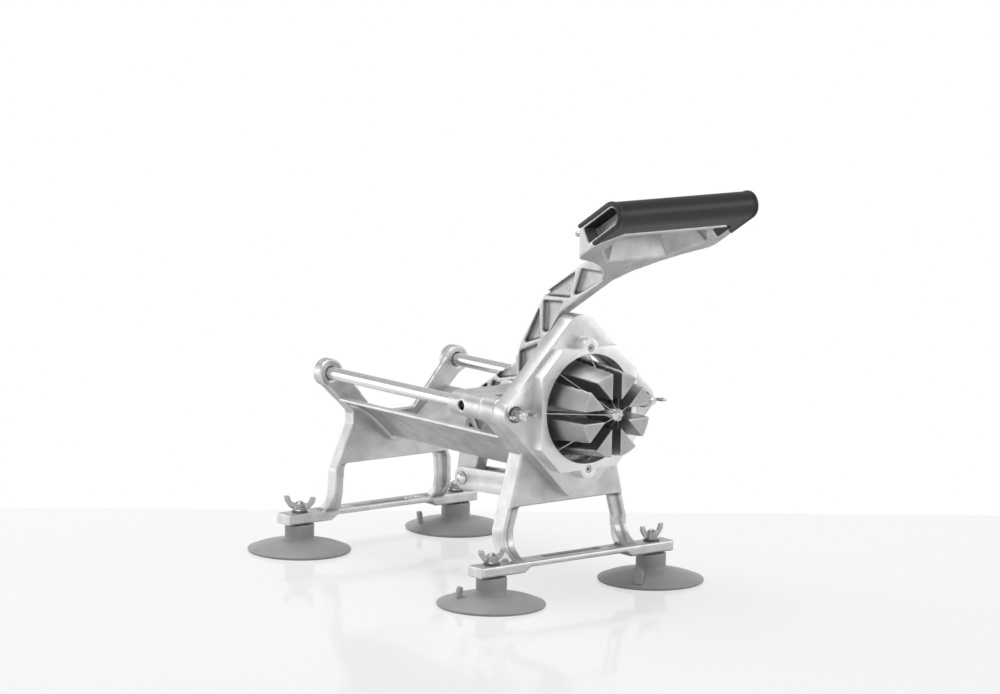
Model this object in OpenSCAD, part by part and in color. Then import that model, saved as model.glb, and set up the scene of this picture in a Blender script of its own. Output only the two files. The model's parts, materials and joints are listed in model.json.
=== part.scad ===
// Lever fry cutter: a cast frame on four suction cups carries two guide rods.
// A carriage with eight wedge fingers slides along them and drives a potato
// through eight radial blades. +X is to the right seen from the blade end,
// -Y is the blade end, +Z is up. The floor is Z = 0.

/* [Frame] */
// Distance between the front and rear foot bars
bar_pitch = 308; // [290:1:340]
// Length of a foot bar
bar_len = 240; // [228:1:270]
// Depth of a foot bar
bar_w = 21; // [18:0.5:26]
// Thickness of a foot bar at its end blocks
bar_t = 10.5; // [8:0.5:14]
// Thickness of a foot bar between its end blocks
bar_mid_t = 5.7; // [4.5:0.1:7]
// Height of the guide rod axis above the floor
axis_z = 181.7; // [176:0.1:195]
// Distance between the guide rods
rod_pitch = 159.2; // [154:0.1:172]
// Diameter of a guide rod
rod_d = 12.7; // [10:0.1:14]
// Thickness of the frames' plates
plate_t = 7; // [5:0.5:9]
// Depth of the legs' outer flanges
flange_w = 18.5; // [15:0.5:20]
// Thickness of the legs' outer flanges
flange_t = 4.5; // [3:0.5:6]
// Diameter of the round bosses that hold the rods
boss_d = 27; // [24:0.5:30]
// Half width of the trough at its rims
trough_half_w = 70; // [68:0.5:72]
// Thickness of the trough's wall
trough_wall = 4; // [3:0.5:5]

/* [Feet] */
// Distance between a bar's two suction cups
cup_pitch = 199; // [190:1:205]
// Diameter of a suction cup
cup_d = 104; // [80:1:108]
// Height of a suction cup up to the top of its post
cup_h = 27.2; // [24:0.1:32]
// Diameter of a cup's post
post_d = 29.5; // [24:0.5:34]
// Diameter of the foot studs and of the rods' front threads
stud_d = 8; // [6:0.5:9]

/* [Blades] */
// Diameter of the cutting bore
bore_d = 105.4; // [96:0.1:108]
// Thickness of the diamond shaped blade holder
holder_t = 17; // [12:0.5:20]
// Height of the holder's top and bottom corners from the bore axis
holder_tip = 88.5; // [84:0.5:92]
// Thickness of the eight sided blade ring
ring_t = 14; // [10:0.5:18]
// Half width of the blade ring across its flats
ring_half_w = 58.5; // [57.5:0.1:60]
// Number of blades
blade_n = 8; // [6:2:8]
// Thickness of a blade
blade_t = 0.9; // [0.6:0.1:1.2]
// Reach of the blades' hub in front of the ring
hub_reach = 41; // [30:1:46]
// Diameter of the blades' hub
hub_d = 11; // [9:0.5:13]

/* [Pusher] */
// Reach of the fingers in front of the ring with the lever pulled down
finger_reach = 40.5; // [30:0.5:44]
// Diameter over the fingers' front ends
finger_tip_d = 81; // [74:0.5:88]
// Diameter over the fingers' roots
finger_root_d = 95; // [90:0.5:98]
// Width of the slots between the fingers
slot_w = 11; // [8:0.5:13]
// Length of the carriage's slide tubes
tube_len = 48.3; // [40:0.1:52]
// Outer diameter of the carriage's slide tubes
tube_d = 24.6; // [22:0.2:28]
// Diameter of the slide tubes' oil holes
oil_hole_d = 9.6; // [5:0.2:10]
// Travel of the carriage
stroke = 165; // [120:1:170]

/* [Lever] */
// Width of the lever's arm
arm_w = 14; // [12:0.5:16]
// Depth of the lever's upper arm and thickness of its yoke
arm_depth = 27; // [24:0.5:29]
// Forward tilt of the upper arm above level
arm_tilt = 31.3; // [28:0.1:34]
// Length of the grip
grip_len = 167; // [130:1:180]
// Wall of the grip sleeve
grip_wall = 3; // [2:0.25:4]
// Diameter of the lever's pivot pin
pin_d = 12; // [9:0.5:14]
// Width of a link bar
link_w = 22; // [18:0.5:24]
// Thickness of a link bar
link_t = 4; // [3:0.5:5]

/* [Hidden] */
$fn = 64;

// Clearances
run_gap = 0.05;      // radial, shaft in bearing
seat_gap = 0.05;     // radial, fixed pin or stud in its hole
side_gap = 0.3;      // between moving parts that pass side by side
hole_gap = 0.3;      // radial, bolt through a plain hole

// Heights
washer_t = 1.5;
bar_z = cup_h + washer_t;
bar_top = bar_z + bar_t;

// Stations along Y, measured from the front foot bar's centre
holder_y = -7;
frame_y = holder_y + holder_t;
plate_back = frame_y + plate_t;
flange_y = frame_y + 1.5;
boss_len = 22;
tube_y = frame_y + boss_len + 0.5;
ring_y = holder_y - ring_t;
finger_y = ring_y - finger_reach;
hub_y = ring_y - hub_reach;
rear_y = bar_pitch - 25;
rear_t = 6;
rear_flange_w = flange_w - 4.5;
rear_boss_len = 13;

// Places across X
rod_x = rod_pitch / 2;
cup_x = cup_pitch / 2;

// The frames' leg outlines
web_z = 88;
leg_out = [[57, 139], [63, 114], [70, 88], [76.5, 66], [77, 50]];
leg_in = [[77 - 16, 46], [61, 66], [55, web_z]];
rear_leg_out = [[66.6, 153], [52.5, 140], [52.5, 128], [62.5, 105.5], [72.7, 82], [74.5, 50]];
knee_z = 62;
foot_run = 21.5;

// Linkage: pivot on the carriage, pivot of lever and links, pivot of links on the frame
pivot = [frame_y + 74, axis_z];
low_pivot = [frame_y + 149, 88];
link_pivot = [frame_y + 20, 95];
bolt_d = 8;
link_x = arm_w / 2 + side_gap;
lug_x = arm_w / 2 + side_gap;
lug_t = 9;

// Grip: its nose centre, seen from the side
grip_c = [frame_y - 155.5, axis_z + 203];
nose_r = arm_depth / 2;
grip_x = grip_len / 2;
sleeve_top = 47;
sleeve_low = 15;
sleeve_low_end = 36;

// The part's middle lies over the origin
grip_reach = nose_r - grip_c.x;
bar_y = (grip_reach - bar_pitch - cup_d / 2) / 2;

cast = [0.78, 0.78, 0.77];
steel = [0.82, 0.83, 0.84];
zinc = [0.86, 0.86, 0.85];
rubber = [0.42, 0.42, 0.43];
black = [0.07, 0.07, 0.08];
block_grey = [0.62, 0.62, 0.62];

// ---------- helpers ----------

// Moves what is drawn from the front foot bar to the part's frame
module from_bar() { translate([0, bar_y, 0]) children(); }

// Extrudes an outline drawn in X and Z along Y
module slab_y(y0, y1) { translate([0, y1, 0]) rotate([90, 0, 0]) linear_extrude(y1 - y0) children(); }

// Extrudes an outline drawn in Y and Z along X
module slab_x(x0, x1) { translate([x0, 0, 0]) rotate([90, 0, 90]) linear_extrude(x1 - x0) children(); }

// A cylinder along Y or along X
module rod_y(r, y0, y1) { translate([0, y1, 0]) rotate([90, 0, 0]) cylinder(r = r, h = y1 - y0); }
module rod_x_dir(r, x0, x1) { translate([x0, 0, 0]) rotate([0, 90, 0]) cylinder(r = r, h = x1 - x0); }

module both_sides() { children(); mirror([1, 0, 0]) children(); }

function unit(v) = v / norm(v);

// Arc of points that rounds corner b between its neighbours a and c
function corner(a, b, c, r, n) =
    let(u = unit(a - b), v = unit(c - b), half = acos(max(-1, min(1, u * v))) / 2,
        mid = b + unit(u + v) * r / sin(half), p = b + u * r / tan(half), q = b + v * r / tan(half),
        a0 = atan2(p.y - mid.y, p.x - mid.x), a1 = atan2(q.y - mid.y, q.x - mid.x),
        turn = (a1 - a0 + 900) % 360 - 180)
    [for (i = [0:n]) mid + r * [cos(a0 + turn * i / n), sin(a0 + turn * i / n)]];

// Outline with every corner rounded by its own radius
function rounded(pts, radii, n = 5) =
    let(m = len(pts))
    [for (i = [0:m - 1]) each (radii[i] == 0 ? [pts[i]]
        : corner(pts[(i + m - 1) % m], pts[i], pts[(i + 1) % m], radii[i], n))];

function same(pts, r) = [for (p = pts) r];
function mirrored(pts) = [for (i = [len(pts) - 1:-1:0]) [-pts[i].x, pts[i].y]];

// ---------- frame ----------

// Outer outline of the trough's section, right half from the middle to the rim
trough_out = [[0, 110], [6, 110], [12, 113], [42, 140], [58, 149], [trough_half_w, 152.5]];
trough_lift = [1.2, 1.25, 1.35, 1.35, 1.1, 0.9];
rim_z = 156;

module trough_section() {
    outer = trough_out;
    inner = [for (i = [len(outer) - 2:-1:0]) outer[i] + [0, trough_lift[i] * trough_wall]];
    half = concat(outer, [[trough_half_w, rim_z], [trough_half_w - 5, rim_z]], inner);
    polygon(concat(half, mirrored(half)));
}

module foot_bar() {
    block_l = 56;
    difference() {
        translate([-bar_len / 2, -bar_w / 2, bar_z]) cube([bar_len, bar_w, bar_t]);
        mid = bar_len / 2 - block_l;
        step = bar_t - bar_mid_t;
        slab_y(-bar_w, bar_w) polygon([[-mid - 3, bar_z - 1], [-mid - 2, bar_z],
            [-mid + step, bar_z + step], [mid - step, bar_z + step], [mid + 2, bar_z], [mid + 3, bar_z - 1]]);
        both_sides() translate([cup_x, 0, 0]) cylinder(r = stud_d / 2 + hole_gap, h = axis_z);
        both_sides() translate([46, 0, 0]) cylinder(r = hold_down_r, h = axis_z);
        translate([0, 3.5, bar_top]) linear_extrude(4, center = true)
            polygon(rounded([[-36, -6], [36, -6], [36, 5], [-36, 5]], [2, 2, 2, 2]));
    }
}
hold_down_r = 2.8;

// Side outline of a leg, from the plate down to its curved foot
module leg_side(y0, y1, run) {
    polygon(concat(
        [[y0, axis_z], [y0, knee_z]],
        [for (a = [15:15:90]) [y0 - run * (1 - cos(a)), knee_z - (knee_z - bar_top) * sin(a)]],
        [[y0 - run, bar_z + bar_t / 2], [bar_foot(run, y0, y1), bar_z + bar_t / 2]],
        [for (a = [90:-15:15]) [y1 - (y1 - bar_foot(run, y0, y1)) * (1 - cos(a)), knee_z + 4 - (knee_z + 4 - bar_top) * sin(a)]],
        [[y1, knee_z + 4], [y1, axis_z]]));
}
function bar_foot(run, y0, y1) = y0 - run + bar_w - 2.5;

// Front outline of one leg, inner edge shifted inwards by inset from the outer one
module leg_front(outer, thick) {
    polygon(concat(outer, [[outer[len(outer) - 1].x + 1.5, bar_z + 4]],
        [[outer[len(outer) - 1].x - thick - 1.5, bar_z + 4]],
        [for (i = [len(outer) - 1:-1:0]) outer[i] - [thick, 0]]));
}

module leg(outer, y0, y1, run) {
    both_sides() {
        intersection() {
            slab_y(y0 - 40, y1 + 10) leg_front(outer, flange_t);
            slab_x(0, 200) leg_side(y0, y1, run);
        }
        intersection() {
            slab_y(y0 - 40, y1 + 10) leg_front(outer, 14.5);
            slab_x(0, 200) leg_side(y0 + 2.5, y0 + 8.5, run);
        }
    }
}

// Face outline of the front frame above the legs
module front_face() {
    ring_r = 60;
    in_r = boss_d / 2 - 1;
    half = [[55, web_z], [70, web_z], [63, 114], [57, 139], [rod_x, axis_z] + in_r * [cos(-40), sin(-40)],
        [rod_x, axis_z + in_r], [0, axis_z] + (ring_r - 1) * [cos(56), sin(56)]];
    polygon(concat(half, mirrored(half)));
    translate([0, axis_z]) circle(ring_r, $fn = 96);
}

module front_frame() {
    leg_top = concat([[rod_x, axis_z] + (boss_d / 2 - 1) * [cos(-40), sin(-40)]], leg_out);
    color(cast) from_bar() difference() {
        union() {
            slab_y(frame_y, plate_back) front_face();
            leg(leg_top, flange_y, flange_y + flange_w, foot_run);
            slab_y(flange_y, link_pivot.x - link_w / 2 - 0.6) polygon([[-56, web_z], [56, web_z], [56, web_z + 4],
                [-56, web_z + 4]]);
            foot_bar();
            both_sides() translate([rod_x, 0, axis_z]) rod_y(boss_d / 2, frame_y, frame_y + boss_len);
            slab_y(plate_back - 1, flange_y + flange_w) trough_section();
            slab_x(-arm_w / 2, arm_w / 2) link_lug();
        }
        translate([0, 0, axis_z]) rod_y(bore_d / 2 + 2.5, frame_y - 1, bar_pitch, $fn = 96);
        both_sides() translate([rod_x, 0, axis_z]) {
            rod_y(rod_d / 2 + seat_gap, frame_y + 6, bar_pitch);
            rod_y(stud_d / 2 + hole_gap, frame_y - 1, frame_y + 7);
        }
        translate([0, link_pivot.x, link_pivot.y]) rod_x_dir(bolt_d / 2 + seat_gap, -20, 20);
    }
}

// Ear on the frame's back that carries the front ends of the links
module link_lug() {
    difference() {
        union() {
            translate(link_pivot) circle(link_w / 2 - 1);
            polygon([[plate_back - 1, web_z], [link_pivot.x, link_pivot.y - link_w / 2 + 1],
                [link_pivot.x, link_pivot.y + link_w / 2 - 1], [plate_back - 1, 112]]);
        }
    }
}

module trough() {
    // thicker collars where the trough meets the frames
    collar_drop = 3;
    collar = [for (i = [0:4]) trough_out[i], for (i = [4:-1:0]) trough_out[i] + [0, collar_drop + 1]];
    slot_half = link_x + link_t + 1.2;
    slot_y0 = pivot.x - 6;
    slot_y1 = pivot.x + stroke + 25;
    color(cast) from_bar() difference() {
        union() {
            slab_y(flange_y + flange_w, rear_y) trough_section();
            for (y = [[flange_y + flange_w, 6], [rear_y - 14, 14]])
                slab_y(y[0], y[0] + y[1]) translate([0, -collar_drop]) polygon(concat(collar, mirrored(collar)));
        }
        translate([-slot_half, slot_y0, 100]) cube([2 * slot_half, slot_y1 - slot_y0, 40]);
    }
}

module rear_face() {
    in_r = boss_d / 2 - 0.5;
    half = [[55, web_z], [70, web_z], [62.5, 105.5], [52.5, 128], [52.5, 140], [66.6, 153],
        [rod_x, axis_z] + in_r * [cos(-30), sin(-30)], [rod_x, axis_z] + in_r * [cos(135), sin(135)],
        [24.6, 138]];
    polygon(concat(half, mirrored(half)));
}

module rear_frame() {
    boss_r = boss_d / 2 + 0.5;
    arm_top = concat([[rod_x, axis_z] + (boss_r - 1) * [cos(-30), sin(-30)]], rear_leg_out);
    color(cast) from_bar() difference() {
        union() {
            slab_y(rear_y, rear_y + rear_t) rear_face();
            translate([0, 2 * rear_y + rear_flange_w, 0]) mirror([0, 1, 0])
                leg(arm_top, rear_y, rear_y + rear_flange_w, bar_pitch - rear_y - rear_flange_w + bar_w / 2 - 0.5);
            translate([0, bar_pitch, 0]) mirror([0, 1, 0]) foot_bar();
            both_sides() translate([rod_x, 0, axis_z]) rod_y(boss_r, rear_y, rear_y + rear_boss_len);
        }
        both_sides() translate([rod_x, 0, axis_z]) {
            rod_y(rod_d / 2 + seat_gap, rear_y - 1, rear_y + 9);
            rod_y(rod_d / 2 + 2, rear_y - 1, rear_y + 1.5);
            rod_y(3 + hole_gap, rear_y + 8, bar_pitch);
        }
    }
}

// ---------- rods ----------

module guide_rod() {
    color(steel) from_bar() translate([rod_x, 0, axis_z]) {
        rod_y(rod_d / 2, frame_y + 6.1, rear_y + 8.9);
        rod_y(stud_d / 2, holder_y - 14, frame_y + 7);
        rod_y(3, rear_y + 8, rear_y + rear_boss_len + 8.5);
    }
}

module guide_rod_right() { guide_rod(); }
module guide_rod_left() { mirror([1, 0, 0]) guide_rod(); }

module rod_nuts() {
    color(zinc) from_bar() both_sides() translate([rod_x, 0, axis_z]) difference() {
        translate([0, rear_y + rear_boss_len + 5, 0]) rotate([90, 0, 0]) cylinder(r = 5.8, h = 5, $fn = 6);
        rod_y(3 + seat_gap, rear_y, bar_pitch);
    }
}

// ---------- wing nuts and washers ----------

// Wing nut that stands on Z = 0, with its wings along X
module wing_nut(d) {
    r = d / 2;
    difference() {
        union() {
            cylinder(r1 = r * 1.55, r2 = r * 1.3, h = 8);
            both_sides() rotate([90, 0, 0]) linear_extrude(2.6, center = true)
                polygon(rounded([[r * 0.9, 0.8], [r * 1.5, 0.8], [15.5, 7.5], [15.8, 14], [11.5, 14], [6.5, 7.6], [r * 0.9, 7.6]],
                    [0, 2, 3, 1.6, 2.2, 2.5, 0]));
        }
        translate([0, 0, -1]) cylinder(r = r + seat_gap, h = 20);
    }
}

module washer(r_out, r_in, t) {
    difference() {
        cylinder(r = r_out, h = t);
        translate([0, 0, -1]) cylinder(r = r_in, h = t + 2);
    }
}

module holder_washers() {
    color(zinc) from_bar() both_sides() translate([rod_x, holder_y, axis_z]) rotate([90, 0, 0])
        washer(stud_d, stud_d / 2 + seat_gap, 1.2);
}

module holder_wing_nuts() {
    color(zinc) from_bar() both_sides() translate([rod_x, holder_y - 1.2, axis_z]) rotate([90, 0, 0]) wing_nut(stud_d);
}

// ---------- blades ----------

// Diamond whose corners are rounded arcs tangent to its sloping edges
module diamond() {
    ear_r = 13;
    reach = rod_x + ear_r * sqrt(2);
    tip_r = (reach - holder_tip) / (sqrt(2) - 1);
    tip_z = reach - tip_r * sqrt(2);
    e = ear_r / sqrt(2);
    t = tip_r / sqrt(2);
    half = [[t, -tip_z - t], [rod_x + e, -e], [rod_x + e, e], [t, tip_z + t]];
    polygon(concat(half, mirrored(half)));
    both_sides() translate([rod_x, 0]) circle(ear_r + 0.05);
    for (s = [-1, 1]) translate([0, s * tip_z]) circle(tip_r + 0.05, $fn = 96);
}

module blade_holder() {
    color(cast) from_bar() translate([0, 0, axis_z]) difference() {
        slab_y(holder_y, frame_y) diamond();
        rod_y(bore_d / 2, holder_y - 1, frame_y + 1, $fn = 96);
        both_sides() translate([rod_x, 0, 0]) rod_y(stud_d / 2 + hole_gap, holder_y - 1, frame_y + 1);
        for (s = [-1, 1]) translate([0, 0, s * screw_z]) rod_y(2.5, holder_y - 1, holder_y + 11);
    }
}
screw_z = ring_half_w - 0.3;

// Square with cut corners and a round lobe at each screw
module ring_outline() {
    c = ring_half_w;
    k = ring_half_w - 24;
    polygon([[k, -c], [c, -k], [c, k], [k, c], [-k, c], [-c, k], [-c, -k], [-k, -c]]);
    for (s = [-1, 1]) translate([0, s * screw_z]) circle(9.5);
}

module blade_ring() {
    color(cast) from_bar() translate([0, 0, axis_z]) difference() {
        slab_y(ring_y, holder_y) ring_outline();
        rod_y(bore_d / 2, ring_y - 1, holder_y + 1, $fn = 96);
        for (s = [-1, 1]) translate([0, 0, s * screw_z]) {
            rod_y(2.5 + seat_gap, ring_y - 1, holder_y + 1);
            rod_y(3.8, ring_y - 1, ring_y + 4.5);
        }
        for (i = [0:blade_n - 1]) rotate([0, i * 360 / blade_n, 0])
            translate([bore_d / 2 - 1, holder_y - 8.2, -blade_t / 2 - 0.1]) cube([3.2, 9.2, blade_t + 0.2]);
    }
}

module ring_screws() {
    color(steel) from_bar() for (s = [-1, 1]) translate([0, 0, axis_z + s * screw_z]) difference() {
        union() {
            rod_y(3.6, ring_y + 0.5, ring_y + 4.5);
            rod_y(2.45, ring_y + 4, holder_y + 10);
        }
        translate([0, ring_y + 3, 0]) rotate([90, 0, 0]) cylinder(r = 1.7, h = 4, $fn = 6);
    }
}

// One blade: its root sits in the ring's slot and its edges run forward to the hub
module blade() {
    wall = bore_d / 2;
    linear_extrude(blade_t, center = true)
        polygon([[wall + 2, holder_y - 0.1], [wall + 2, holder_y - 8], [wall - 0.6, holder_y - 8], [wall - 0.6, ring_y + 2],
            [hub_d / 2 - 1, hub_y + 2], [hub_d / 2 - 1, hub_y + 20], [wall - 0.6, holder_y + 5], [wall - 0.6, holder_y - 0.1]]);
}

module wedge_blades() {
    color(steel) from_bar() translate([0, 0, axis_z]) difference() {
        union() {
            for (i = [0:blade_n - 1]) rotate([0, i * 360 / blade_n, 0]) blade();
            rod_y(hub_d / 2, hub_y + 1.5, hub_y + 24);
        }
        rod_y(2.5, hub_y, hub_y + 25);
    }
}

module hub_screw() {
    color(steel) from_bar() translate([0, 0, axis_z]) difference() {
        union() {
            rod_y(hub_d / 2 + 0.5, hub_y - 1, hub_y + 1.5);
            rod_y(2.45, hub_y + 1, hub_y + 20);
        }
        translate([0, hub_y + 0.4, 0]) rotate([90, 0, 0]) cylinder(r = 2, h = 4, $fn = 6);
    }
}

// ---------- pusher ----------

wall_y = tube_y + 1.5;
wall_t = 10;
bar_half_h = tube_d / 2;

module carriage() {
    lug_r = 15;
    color(cast) from_bar() difference() {
        union() {
            both_sides() translate([rod_x, 0, axis_z]) rod_y(tube_d / 2, tube_y, tube_y + tube_len);
            translate([-rod_x, wall_y, axis_z - bar_half_h]) cube([2 * rod_x, wall_t, 2 * bar_half_h]);
            both_sides() {
                translate([lug_x, wall_y, axis_z + bar_half_h - 5])
                    cube([rod_x - lug_x, tube_len - 4, 5]);
                slab_x(lug_x, lug_x + lug_t) {
                    translate(pivot) circle(lug_r);
                    polygon([[wall_y, axis_z - bar_half_h], [pivot.x, pivot.y - lug_r],
                        [pivot.x, pivot.y + bar_half_h], [wall_y, axis_z + bar_half_h]]);
                }
            }
        }
        both_sides() translate([rod_x, 0, axis_z]) {
            rod_y(rod_d / 2 + 3 + seat_gap, tube_y - 1, tube_y + tube_len + 1);
            translate([0, tube_y + 28.5, 0]) rod_x_dir(oil_hole_d / 2, 0, 20);
        }
        translate([0, pivot.x, pivot.y]) rod_x_dir(pin_d / 2 + seat_gap, -30, 30);
        both_sides() translate([26, 0, axis_z - 3]) rod_y(4 + hole_gap, tube_y, wall_y + wall_t + 1);
        translate([-arm_w / 2 - side_gap, wall_y + wall_t, axis_z - 30]) cube([arm_w + 2 * side_gap, 80, 60]);
    }
}

module slide_bushings() {
    bush_l = 14;
    color("peru") from_bar() both_sides() for (y = [tube_y, tube_y + tube_len - bush_l])
        translate([rod_x, 0, axis_z]) difference() {
            rod_y(rod_d / 2 + 3, y, y + bush_l);
            rod_y(rod_d / 2 + run_gap, y - 1, y + bush_l + 1);
        }
}

module pusher_block() {
    root_y = frame_y - 2;
    color(block_grey) from_bar() translate([0, 0, axis_z]) difference() {
        union() {
            difference() {
                translate([0, root_y, 0]) rotate([90, 0, 0])
                    cylinder(r1 = finger_root_d / 2, r2 = finger_tip_d / 2, h = root_y - finger_y, $fn = 96);
                for (i = [0:blade_n / 2 - 1]) rotate([0, i * 360 / blade_n, 0])
                    translate([-100, finger_y - 1, -slot_w / 2]) cube([200, root_y - finger_y + 1, slot_w]);
            }
            rod_y(finger_root_d / 2 + 2, root_y, root_y + 8, $fn = 96);
            slab_y(root_y + 7, wall_y) polygon(rounded([[-36, -bar_half_h], [36, -bar_half_h], [36, bar_half_h],
                [-36, bar_half_h]], [8, 8, 8, 8]));
        }
        both_sides() translate([26, 0, -3]) rod_y(4 + seat_gap, wall_y - 18, wall_y + 1);
    }
}

module pusher_screws() {
    color(steel) from_bar() both_sides() translate([26, 0, axis_z - 3]) difference() {
        union() {
            rod_y(4, wall_y - 16, wall_y + wall_t + 1);
            rod_y(6.5, wall_y + wall_t, wall_y + wall_t + 7);
        }
        translate([0, wall_y + wall_t + 8, 0]) rotate([90, 0, 0]) cylinder(r = 3.4, h = 4, $fn = 6);
    }
}

// ---------- lever ----------

// Places what is drawn in the yoke's own frame: X across, Y back from the grip's
// nose along the upper arm, Z square to it
module yoke_frame() { translate([0, grip_c.x, grip_c.y]) rotate([-arm_tilt, 0, 0]) children(); }

// Point of the side view that lies t back from the nose and n above the arm's middle
function on_arm(t, n) = grip_c + [t * cos(arm_tilt) + n * sin(arm_tilt), -t * sin(arm_tilt) + n * cos(arm_tilt)];

elbow_front = on_arm(200, -nose_r);
elbow_back = on_arm(208, nose_r);
low_r = 14;
pivot_r = 16;

// Side outline of the lever's arm below the yoke
module arm_outline() {
    polygon(rounded([on_arm(100, nose_r), on_arm(100, -nose_r), elbow_front, [43.4, 236.3],
        pivot + [-19, 16], pivot + [-17, -6], pivot + [4, -22], low_pivot + [-24, 36],
        low_pivot + [-low_r, 4], low_pivot + [low_r, 4], low_pivot + [9, 30], low_pivot + [-4, 74], pivot + [56, 0],
        pivot + [35, 12], pivot + [-1, 36], pivot + [-7.5, 52], elbow_back],
        [0, 0, 14, 20, 14, 12, 16, 20, 0, 0, 20, 14, 8, 20, 16, 14, 20]));
    translate(low_pivot) circle(low_r);
    translate(pivot) circle(pivot_r);
}

// Side pockets between the arm's ribs
pockets = [
    [on_arm(109, -9.5), on_arm(109 + 42, -9.5), on_arm(112, 9.8)],
    [on_arm(160, -9.5), on_arm(118, 10), on_arm(166, 10)],
    [on_arm(170, -9), on_arm(194, -9), [44, 242], on_arm(172, 8)],
    [on_arm(180, 9), on_arm(203, 9), [73, 236], [51, 242]],
    [[50, 232], [74, 229], [79, 203], [66, 205]],
    [[84, 215], [91, 201], [112, 195]],
    [[104, 186], [118, 190], [133, 182], [128, 176]],
    [[104, 176], [124, 171], [137, 172], [148, 150], [139, 136]],
    [[142, 132], [154, 146], [157, 122], [149, 112]]];

module lever_arm() {
    difference() {
        slab_x(-arm_w / 2, arm_w / 2) arm_outline();
        both_sides() for (p = pockets) slab_x(2.2, arm_w) polygon(rounded(p, same(p, 2)));
    }
}

// Plan outline of the yoke, seen from above
module yoke_plan() {
    w = arm_w / 2;
    half = [[w, grip_c.x + 105], [w + 3.5, grip_c.x + 96], [w + 10, grip_c.x + 85.5], [36, grip_c.x + 70],
        [54, grip_c.x + 59.5], [grip_x - 4, grip_c.x + 49], [grip_x, grip_c.x + 44.5], [grip_x, grip_c.x - 30]];
    polygon(concat(half, mirrored(half)));
}

// Outline of the grip's closed nose and straight back, t across and n up
module grip_section(r, back) {
    circle(r);
    translate([0, -r]) square([back, 2 * r]);
}

// The part of the lower face that the sleeve covers, in the yoke's plan
module sleeve_cover(gap) {
    g = gap;
    polygon([[-grip_x - 1, -20], [grip_x + 1, -20], [grip_x + 1, sleeve_low_end + g], [grip_x, sleeve_low_end + g],
        [grip_x - 20.5, sleeve_low + g], [20.5 - grip_x, sleeve_low + g], [-grip_x, sleeve_low_end + g],
        [-grip_x - 1, sleeve_low_end + g]]);
}

// Hollow under the yoke. Its walls lean inwards, so it is a frustum
module yoke_pocket() {
    low = [[-36, 77.6], [-63, 48], [-58, 20], [42, 20], [63, 48], [36, 77.6]];
    middle = [0, 38];
    shrink = 0.78;
    roof = nose_r - grip_wall - 4;
    mouth = [for (p = low) middle + (p - middle) * 1.015];
    top = [for (p = low) middle + (p - middle) * shrink];
    hull() {
        translate([0, 0, -nose_r - 1]) linear_extrude(0.5) polygon(mouth);
        translate([0, 0, roof - 0.5]) linear_extrude(0.5) polygon(top);
    }
}

module yoke() {
    core_r = nose_r - grip_wall - seat_gap;
    end_wall = 15;
    difference() {
        intersection() {
            translate([0, 0, axis_z]) linear_extrude(300) yoke_plan();
            yoke_frame() {
                slab_x(-grip_x, grip_x) grip_section(core_r, 10);
                translate([-grip_x, 0, -nose_r]) cube([2 * grip_x, 125, arm_depth]);
            }
        }
        yoke_frame() {
            translate([-grip_x - 1, -20, core_r]) cube([2 * grip_x + 2, 20 + sleeve_top + 0.1, 20]);
            translate([0, 0, -nose_r - 10]) linear_extrude(10 + nose_r - core_r) sleeve_cover(0.1);
            yoke_pocket();
            both_sides() slab_x(grip_x - end_wall, grip_x + 1) grip_section(core_r - 3, sleeve_top - 5);
            translate([0, 0, -nose_r - 1]) linear_extrude(nose_r + 1)
                polygon(rounded([[48, 19], [71, 19], [71, 40]], [1, 1, 1]));
            difference() {
                translate([-grip_x - 1, -30, -nose_r]) cube([2 * grip_x + 2, 30, arm_depth]);
                slab_x(-grip_x - 2, grip_x + 2) circle(core_r);
            }
        }
    }
}

module lever() {
    color(cast) from_bar() difference() {
        union() {
            lever_arm();
            yoke();
        }
        translate([0, pivot.x, pivot.y]) rod_x_dir(pin_d / 2 + run_gap, -20, 20);
        translate([0, low_pivot.x, low_pivot.y]) rod_x_dir(bolt_d / 2 + 2 + seat_gap, -20, 20);
        both_sides() yoke_screw_place() rod_y(1.5 + seat_gap, -14, 1);
    }
}

// On the yoke's rear wall near its end, square to the wall
module yoke_screw_place() {
    translate([grip_x - 7.5, grip_c.x + 50.44, grip_c.y - 22.5]) rotate([0, 0, -22.4]) children();
}

module grip_sleeve() {
    color(black) from_bar() yoke_frame() difference() {
        slab_x(-grip_x, grip_x) difference() {
            union() {
                circle(nose_r);
                translate([0, nose_r - grip_wall]) square([sleeve_top, grip_wall]);
                translate([0, -nose_r]) square([sleeve_low_end, grip_wall]);
            }
            circle(nose_r - grip_wall);
            translate([0, -nose_r + grip_wall]) square([100, 2 * (nose_r - grip_wall)]);
        }
        translate([0, 0, -nose_r - 1]) linear_extrude(grip_wall + 2) difference() {
            translate([-grip_x - 5, 5]) square([2 * grip_x + 10, 60]);
            sleeve_cover(0);
        }
    }
}

module grip_screws() {
    color(steel) from_bar() both_sides() yoke_screw_place() {
        rod_y(2.6, 0.1, 6);
        rod_y(1.5, -8, 1);
    }
}

module lever_pin() {
    reach = lug_x + lug_t;
    color(steel) from_bar() translate([0, pivot.x, pivot.y]) difference() {
        union() {
            rod_x_dir(pin_d / 2, -reach - 1, reach + 5);
            rod_x_dir(pin_d / 2 + 3, -reach - 4, -reach);
        }
        difference() {
            rod_x_dir(pin_d, reach, reach + 1.3);
            rod_x_dir(pin_d / 2 - 1, reach - 1, reach + 3);
        }
    }
}

module pin_ring() {
    reach = lug_x + lug_t;
    color(steel) from_bar() translate([0, pivot.x, pivot.y]) difference() {
        rod_x_dir(pin_d / 2 + 3, reach + 0.1, reach + 1.2);
        rod_x_dir(pin_d / 2 - 1 + seat_gap, reach - 1, reach + 3);
    }
}

module lever_bush() {
    color("peru") from_bar() translate([0, low_pivot.x, low_pivot.y]) difference() {
        rod_x_dir(bolt_d / 2 + 2, -arm_w / 2, arm_w / 2);
        rod_x_dir(bolt_d / 2 + run_gap, -20, 20);
    }
}

// ---------- links ----------

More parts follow.
